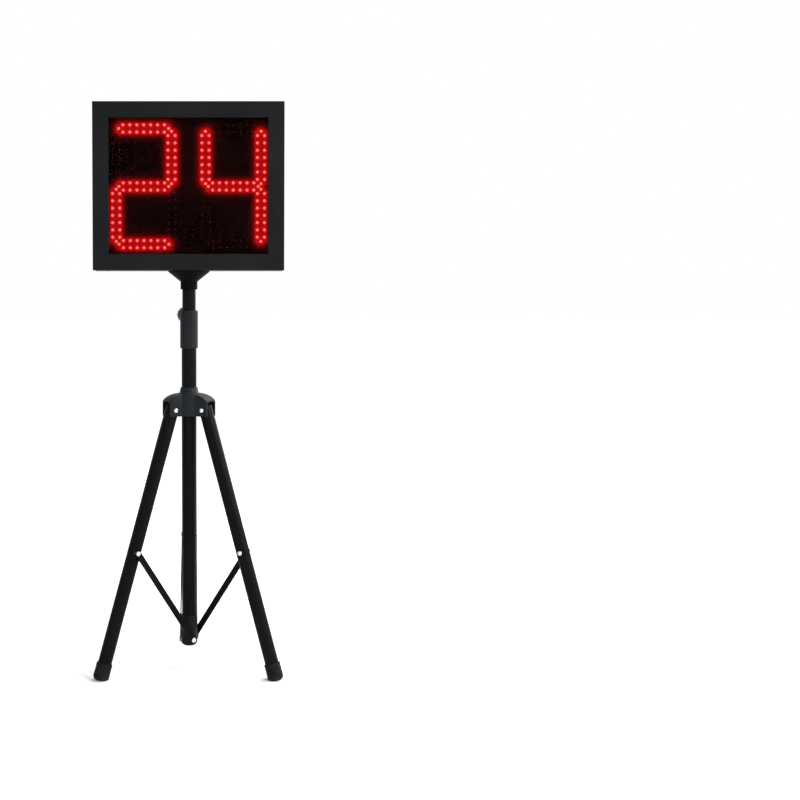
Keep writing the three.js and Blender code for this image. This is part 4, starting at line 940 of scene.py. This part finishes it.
def clamp():
    inset, fall = SLEEVE_SHOULDER
    outline = [(SLEEVE_BORE, SLEEVE_BOTTOM)]
    outline += arc((SLEEVE_RADIUS - SLEEVE_EDGE, SLEEVE_BOTTOM + SLEEVE_EDGE), SLEEVE_EDGE, -90, 0, 6)
    outline += [(SLEEVE_RADIUS - inset * (1 - math.cos(a)), SLEEVE_TOP - fall + fall * math.sin(a))
                for a in quarter(6)]
    outline += [(TUBE_PASSAGE, SLEEVE_TOP), (TUBE_PASSAGE, SLEEVE_STEP), (SLEEVE_BORE, SLEEVE_STEP),
                (SLEEVE_BORE, SLEEVE_BOTTOM)]
    sleeve = solid("sleeve", lathe(outline))
    combine(sleeve, solid("boss", moved(lathe(CLAMP_BOSS, sides=40), along_x(*CLAMP_AIM))), "UNION")
    combine(sleeve, solid("bore", moved(lathe(CLAMP_STEM_HOLE, sides=32), along_x(*CLAMP_AIM))), "DIFFERENCE")
    piece_from("clamp_sleeve_round", taken(sleeve), "stand", "black_plastic", replaces=("clamp_sleeve",))
    hand_knob("clamp_knob", "clamp_screw", CLAMP_AIM, radius=17, depth=14, bevel=2, seat=27.3, stem=4, tip=14.6)


# Stand

def legs():
    """The legs with their feet, struts and rivets."""
    (hub_reach, hub_height), (leg_reach, leg_height) = HUB_PIVOT, LEG_PIVOT
    tilt = math.atan2(leg_reach - hub_reach, hub_height - leg_height)
    foot_end = hub_height / math.cos(tilt) + FOOT_SINK
    leg_end = foot_end - FOOT_SOLE
    tube = tube_outline(LEG_RADIUS, LEG_BORE, -leg_end, LEG_TOP)
    inner, shoulder, outer = LEG_RIVET
    leg_shank = [(RIVET_RADIUS, -inner), (RIVET_RADIUS, inner), (RIVET_SHOULDER, inner), (RIVET_SHOULDER, shoulder),
                 (RIVET_RADIUS, shoulder)]
    hub_shank = [(RIVET_RADIUS, -HUB_RIVET), (RIVET_RADIUS, HUB_RIVET)]
    root, tip = SPIDER_RIVET
    spider_shank = [(0, root), (RIVET_RADIUS, root)]
    for side in LEG_AZIMUTHS:
        place = leg_plane(side) @ shift(hub_reach, 0, hub_height) @ Matrix.Rotation(-tilt, 4, "Y")
        body = "leg_tube_" + side
        round_piece(f"leg_{side}_round", tube, body, "black_tube", place, (f"leg_{side}",))
        foot(side, place, body, foot_end, leg_end)
        rivet(f"leg_rivet_{side}", body, across_leg(side, *LEG_PIVOT), leg_shank, -inner, outer)
        rivet(f"hub_rivet_{side}", "hub_slider", across_leg(side, *HUB_PIVOT), hub_shank, -HUB_RIVET, HUB_RIVET)
        rivet(f"spider_rivet_{side}", "stand", across_leg(side, *SPIDER_PIVOT), spider_shank, None, tip)
        refined(f"strut_{side}", width=0.35)


def foot(side, place, body, foot_end, leg_end):
    """A foot turned about its leg and cut off level with the floor."""
    top = FOOT_LENGTH - foot_end
    outline = [(0, -leg_end - FOOT_PLAY), (FOOT_BORE, -leg_end - FOOT_PLAY), (FOOT_BORE, top)]
    outline += arc((FOOT_RADIUS - FOOT_LIP, top - FOOT_LIP), FOOT_LIP, 90, 0, 4)
    mouth, floor = FOOT_GROOVE_HALF
    deep = FOOT_RADIUS - FOOT_GROOVE_DEPTH
    for groove in FOOT_GROOVES:
        middle = top - groove
        outline += [(FOOT_RADIUS, middle + mouth), (deep, middle + floor), (deep, middle - floor),
                    (FOOT_RADIUS, middle - mouth)]
    outline += arc((FOOT_RADIUS - FOOT_EDGE, -foot_end + FOOT_EDGE), FOOT_EDGE, 0, -90, 8) + [(0, -foot_end)]
    bm = moved(lathe(outline), place)
    cut = bmesh.ops.bisect_plane(
        bm, geom=bm.verts[:] + bm.edges[:] + bm.faces[:], plane_co=(0, 0, FLOOR_CUT), plane_no=(0, 0, -1),
        clear_outer=True,
    )
    loop = [e for e in cut["geom_cut"] if isinstance(e, bmesh.types.BMEdge)]
    bmesh.ops.edgeloop_fill(bm, edges=loop)
    piece_from(f"foot_{side}_round", bm, body, "rubber", replaces=(f"foot_{side}",))


def dome(seat, direction):
    """The outline of a rivet's head, from its rim to its middle."""
    radius, rise = RIVET_HEAD
    rim = [(radius * math.cos(a), seat + direction * rise * math.sin(a)) for a in quarter(6)[:-1]]
    return rim + [(0, seat + direction * rise)]


def rivet(name, body, place, shank, low, high):
    """A rivet with a head at its high end, and at its low end too unless that is None."""
    outline = (list(reversed(dome(low, -1))) if low is not None else []) + shank + dome(high, 1)
    round_piece(name + "_round", outline, body, "rivet_steel", place, (name,), PIN_SIDES)


# Hub

def roof_curve():
    """The roof's outline, from its edge to its crown."""
    edge, shoulder, crown = ROOF_BEND
    curve = []
    for k in range(ROOF_STEPS + 1):
        t = k / ROOF_STEPS
        curve.append(tuple(edge[i] * (1 - t) ** 2 + 2 * shoulder[i] * t * (1 - t) + crown[i] * t * t for i in (0, 1)))
    return curve


def roof(drop):
    """The space under the hub's roof, lowered by a drop."""
    curve = roof_curve()
    form = lathe([(0, ROOF_FLOOR), (curve[0][0], ROOF_FLOOR)] + curve + [(0, HUB_TOP)], ROOF_SIDES)
    return moved(form, shift(z=-drop))


def hub_block():
    """The hub in plan, an arm over each leg and a flat face between each two, stood up to its full height."""
    reach, half, corner, root = HUB_ARM
    arm = [(root, -half)] + arc((reach - corner, -half + corner), corner, -90, 0, 5)
    arm += arc((reach - corner, half - corner), corner, 0, 90, 5) + [(root, half)]
    outline = []
    for azimuth in LEG_AZIMUTHS.values():
        a = math.radians(azimuth)
        outline += [(x * math.cos(a) - y * math.sin(a), x * math.sin(a) + y * math.cos(a)) for x, y in arm]
    bm = bmesh.new()
    low = [bm.verts.new((x, y, HUB_BOTTOM)) for x, y in outline]
    high = [bm.verts.new((x, y, HUB_ABOVE)) for x, y in outline]
    bm.faces.new(list(reversed(low)))
    bm.faces.new(high)
    for k in range(len(outline)):
        j = (k + 1) % len(outline)
        bm.faces.new([low[k], low[j], high[j], high[k]])
    return bm


def hub():
    """The hub with its forks cut out under the roof, and its knob."""
    body = solid("hub_form", hub_block())
    radius = HUB_BARREL_RADIUS
    barrel = lathe([(0, HUB_BOTTOM), (radius, HUB_BOTTOM), (radius, HUB_ABOVE), (0, HUB_ABOVE)], HUB_BARREL_SIDES)
    combine(body, solid("barrel", barrel), "UNION")
    combine(body, solid("roof", roof(0)), "INTERSECT")
    combine(body, solid("ring", lathe(HUB_RING)), "UNION")
    combine(body, solid("boss", moved(lathe(HUB_BOSS, sides=32), along_x(*HUB_AIM))), "UNION")
    for azimuth in LEG_AZIMUTHS.values():
        gap = box_form(FORK_GAP, (FORK_ROOT + FORK_GAP[0] / 2, 0, FORK_HEIGHT))
        gap = solid("gap", moved(gap, turn_z(azimuth)))
        combine(gap, solid("roof", roof(ROOF_THICKNESS)), "INTERSECT")
        combine(body, gap, "DIFFERENCE")
    combine(body, solid("bore", lathe(HUB_BORE)), "DIFFERENCE")
    combine(body, solid("stem", moved(lathe(HUB_STEM_HOLE, sides=24), along_x(*HUB_AIM))), "DIFFERENCE")
    bm = taken(body)
    bmesh.ops.remove_doubles(bm, verts=bm.verts, dist=0.002)
    bmesh.ops.dissolve_limit(bm, angle_limit=math.radians(0.8), verts=bm.verts, edges=bm.edges)
    bmesh.ops.dissolve_degenerate(bm, dist=HUB_SHORTEST_EDGE, edges=bm.edges)
    soften(bm, HUB_EDGE, HUB_EDGE_ANGLE, below=HUB_EDGE_TOP)
    piece_from("hub_round", bm, "hub_slider", "black_plastic", replaces=("hub",))
    hand_knob("hub_knob", "hub_screw", HUB_AIM, radius=10.5, depth=11, bevel=1.5, seat=38.15, stem=3, tip=16.55)


def spider():
    outline = [(0, SPIDER_SEAT), (SPIDER_BORE, SPIDER_SEAT), (SPIDER_BORE, SPIDER_TOP)]
    outline += arc((SPIDER_RADIUS - SPIDER_LIP, SPIDER_TOP - SPIDER_LIP), SPIDER_LIP, 90, 0, 4)
    outline += [(SPIDER_SOLE + (SPIDER_RADIUS - SPIDER_SOLE) * math.cos(a),
                 SPIDER_BOTTOM + SPIDER_SOLE - SPIDER_SOLE * math.sin(a)) for a in quarter(8)]
    outline += [(0, SPIDER_BOTTOM)]
    cap = round_piece("lower_spider_round", outline, "stand", "black_plastic", replaces=("lower_spider",))
    # The spider gets the darker copy of the black moulding: painted shade.
    cap.data.materials[0] = SHADED_MOULDING


# Studio

def floor_material():
    """White to the camera, to reflections and through glass; it glows less near the stand, so that shadows show."""
    shade = Shade("studio_white")
    path = shade.nodes.new("ShaderNodeLightPath")
    seen = shade.math("MAXIMUM", path.outputs["Is Camera Ray"], path.outputs["Is Glossy Ray"])
    seen = shade.math("MAXIMUM", seen, path.outputs["Is Transmission Ray"])
    reach = shade.nodes.new("ShaderNodeVectorMath")
    reach.operation = "LENGTH"
    shade.links.new(shade.place, reach.inputs[0])
    glow = shade.remap(reach.outputs["Value"], *FLOOR_GLOW, *FLOOR_GLOW_REACH)
    return shade.surface(
        Base_Color=FLOOR_COLOUR, Roughness=0.9, Specular_IOR_Level=0.0,
        Emission_Color=(1, 1, 1, 1), Emission_Strength=shade.math("MULTIPLY", seen, glow),
    )


def studio_floor():
    mesh = bpy.data.meshes.new("studio_floor")
    bm = bmesh.new()
    bmesh.ops.create_grid(bm, x_segments=4, y_segments=4, size=FLOOR_HALF)
    bm.to_mesh(mesh)
    bm.free()
    mesh.materials.append(floor_material())
    floor = bpy.data.objects.new("studio_floor", mesh)
    floor.location = (0, 0, -FLOOR_DROP)
    bpy.context.scene.collection.objects.link(floor)


def studio_world():
    """White where it is seen, and a plain level of light from all round."""
    world = bpy.data.worlds.new("studio_world")
    bpy.context.scene.world = world
    world.use_nodes = True
    tree = world.node_tree
    background = tree.nodes["Background"]
    path = tree.nodes.new("ShaderNodeLightPath")
    seen = path.outputs["Is Camera Ray"]
    for name in ("Is Glossy Ray", "Is Transmission Ray"):
        most = tree.nodes.new("ShaderNodeMath")
        most.operation = "MAXIMUM"
        tree.links.new(seen, most.inputs[0])
        tree.links.new(path.outputs[name], most.inputs[1])
        seen = most.outputs[0]
    level = tree.nodes.new("ShaderNodeMapRange")
    tree.links.new(seen, level.inputs["Value"])
    level.inputs["To Min"].default_value = WORLD_LIGHT
    level.inputs["To Max"].default_value = 1.0
    tree.links.new(level.outputs["Result"], background.inputs["Strength"])
    background.inputs["Color"].default_value = (1, 1, 1, 1)


def studio_lamps():
    for name, (place, aim, size, power) in STUDIO_LAMPS.items():
        lamp = bpy.data.lights.new(name, "AREA")
        lamp.size = size
        lamp.energy = power
        light = bpy.data.objects.new(name, lamp)
        light.location = place
        light.rotation_euler = (Vector(aim) - Vector(place)).to_track_quat("-Z", "Y").to_euler()
        bpy.context.scene.collection.objects.link(light)


def studio_camera():
    data = bpy.data.cameras.new("camera")
    data.sensor_width = SENSOR_WIDTH
    data.lens = SENSOR_WIDTH * FOCAL_PIXELS / PICTURE_WIDTH
    data.shift_x, data.shift_y = (pixels / PICTURE_WIDTH for pixels in CAMERA_SHIFT)
    camera = bpy.data.objects.new("camera", data)
    x, y, z = CAMERA_PLACE
    camera.location = (x, AXIS_Y + y, z)
    camera.rotation_euler = (math.radians(90 - CAMERA_DIP), 0, 0)
    bpy.context.scene.collection.objects.link(camera)
    bpy.context.scene.camera = camera
    bpy.context.scene.view_settings.view_transform = "Standard"


for node, piece in frame["nodes"].items():
    dress(piece, SLOT_OF[node])

studio_floor()
studio_world()
studio_lamps()
studio_camera()
for digit_name in DIGITS:
    for segment_letter in SEGMENT_PLACES:
        digit_segment(digit_name, segment_letter)
decimal_point()
for side_name, axis in (("bottom", 0), ("left", 2), ("top", 0), ("right", 2)):
    refined("frame_" + side_name, width=0.4, along=axis)
refined("rear_cover", width=0.25)
refined("power_inlet", width=0.4)
refined("switch_body", width=0.4)
refined("switch_rocker", width=0.4)
rear_details()
rocker_marks()
flange()
mast()
clamp()
legs()
hub()
spider()
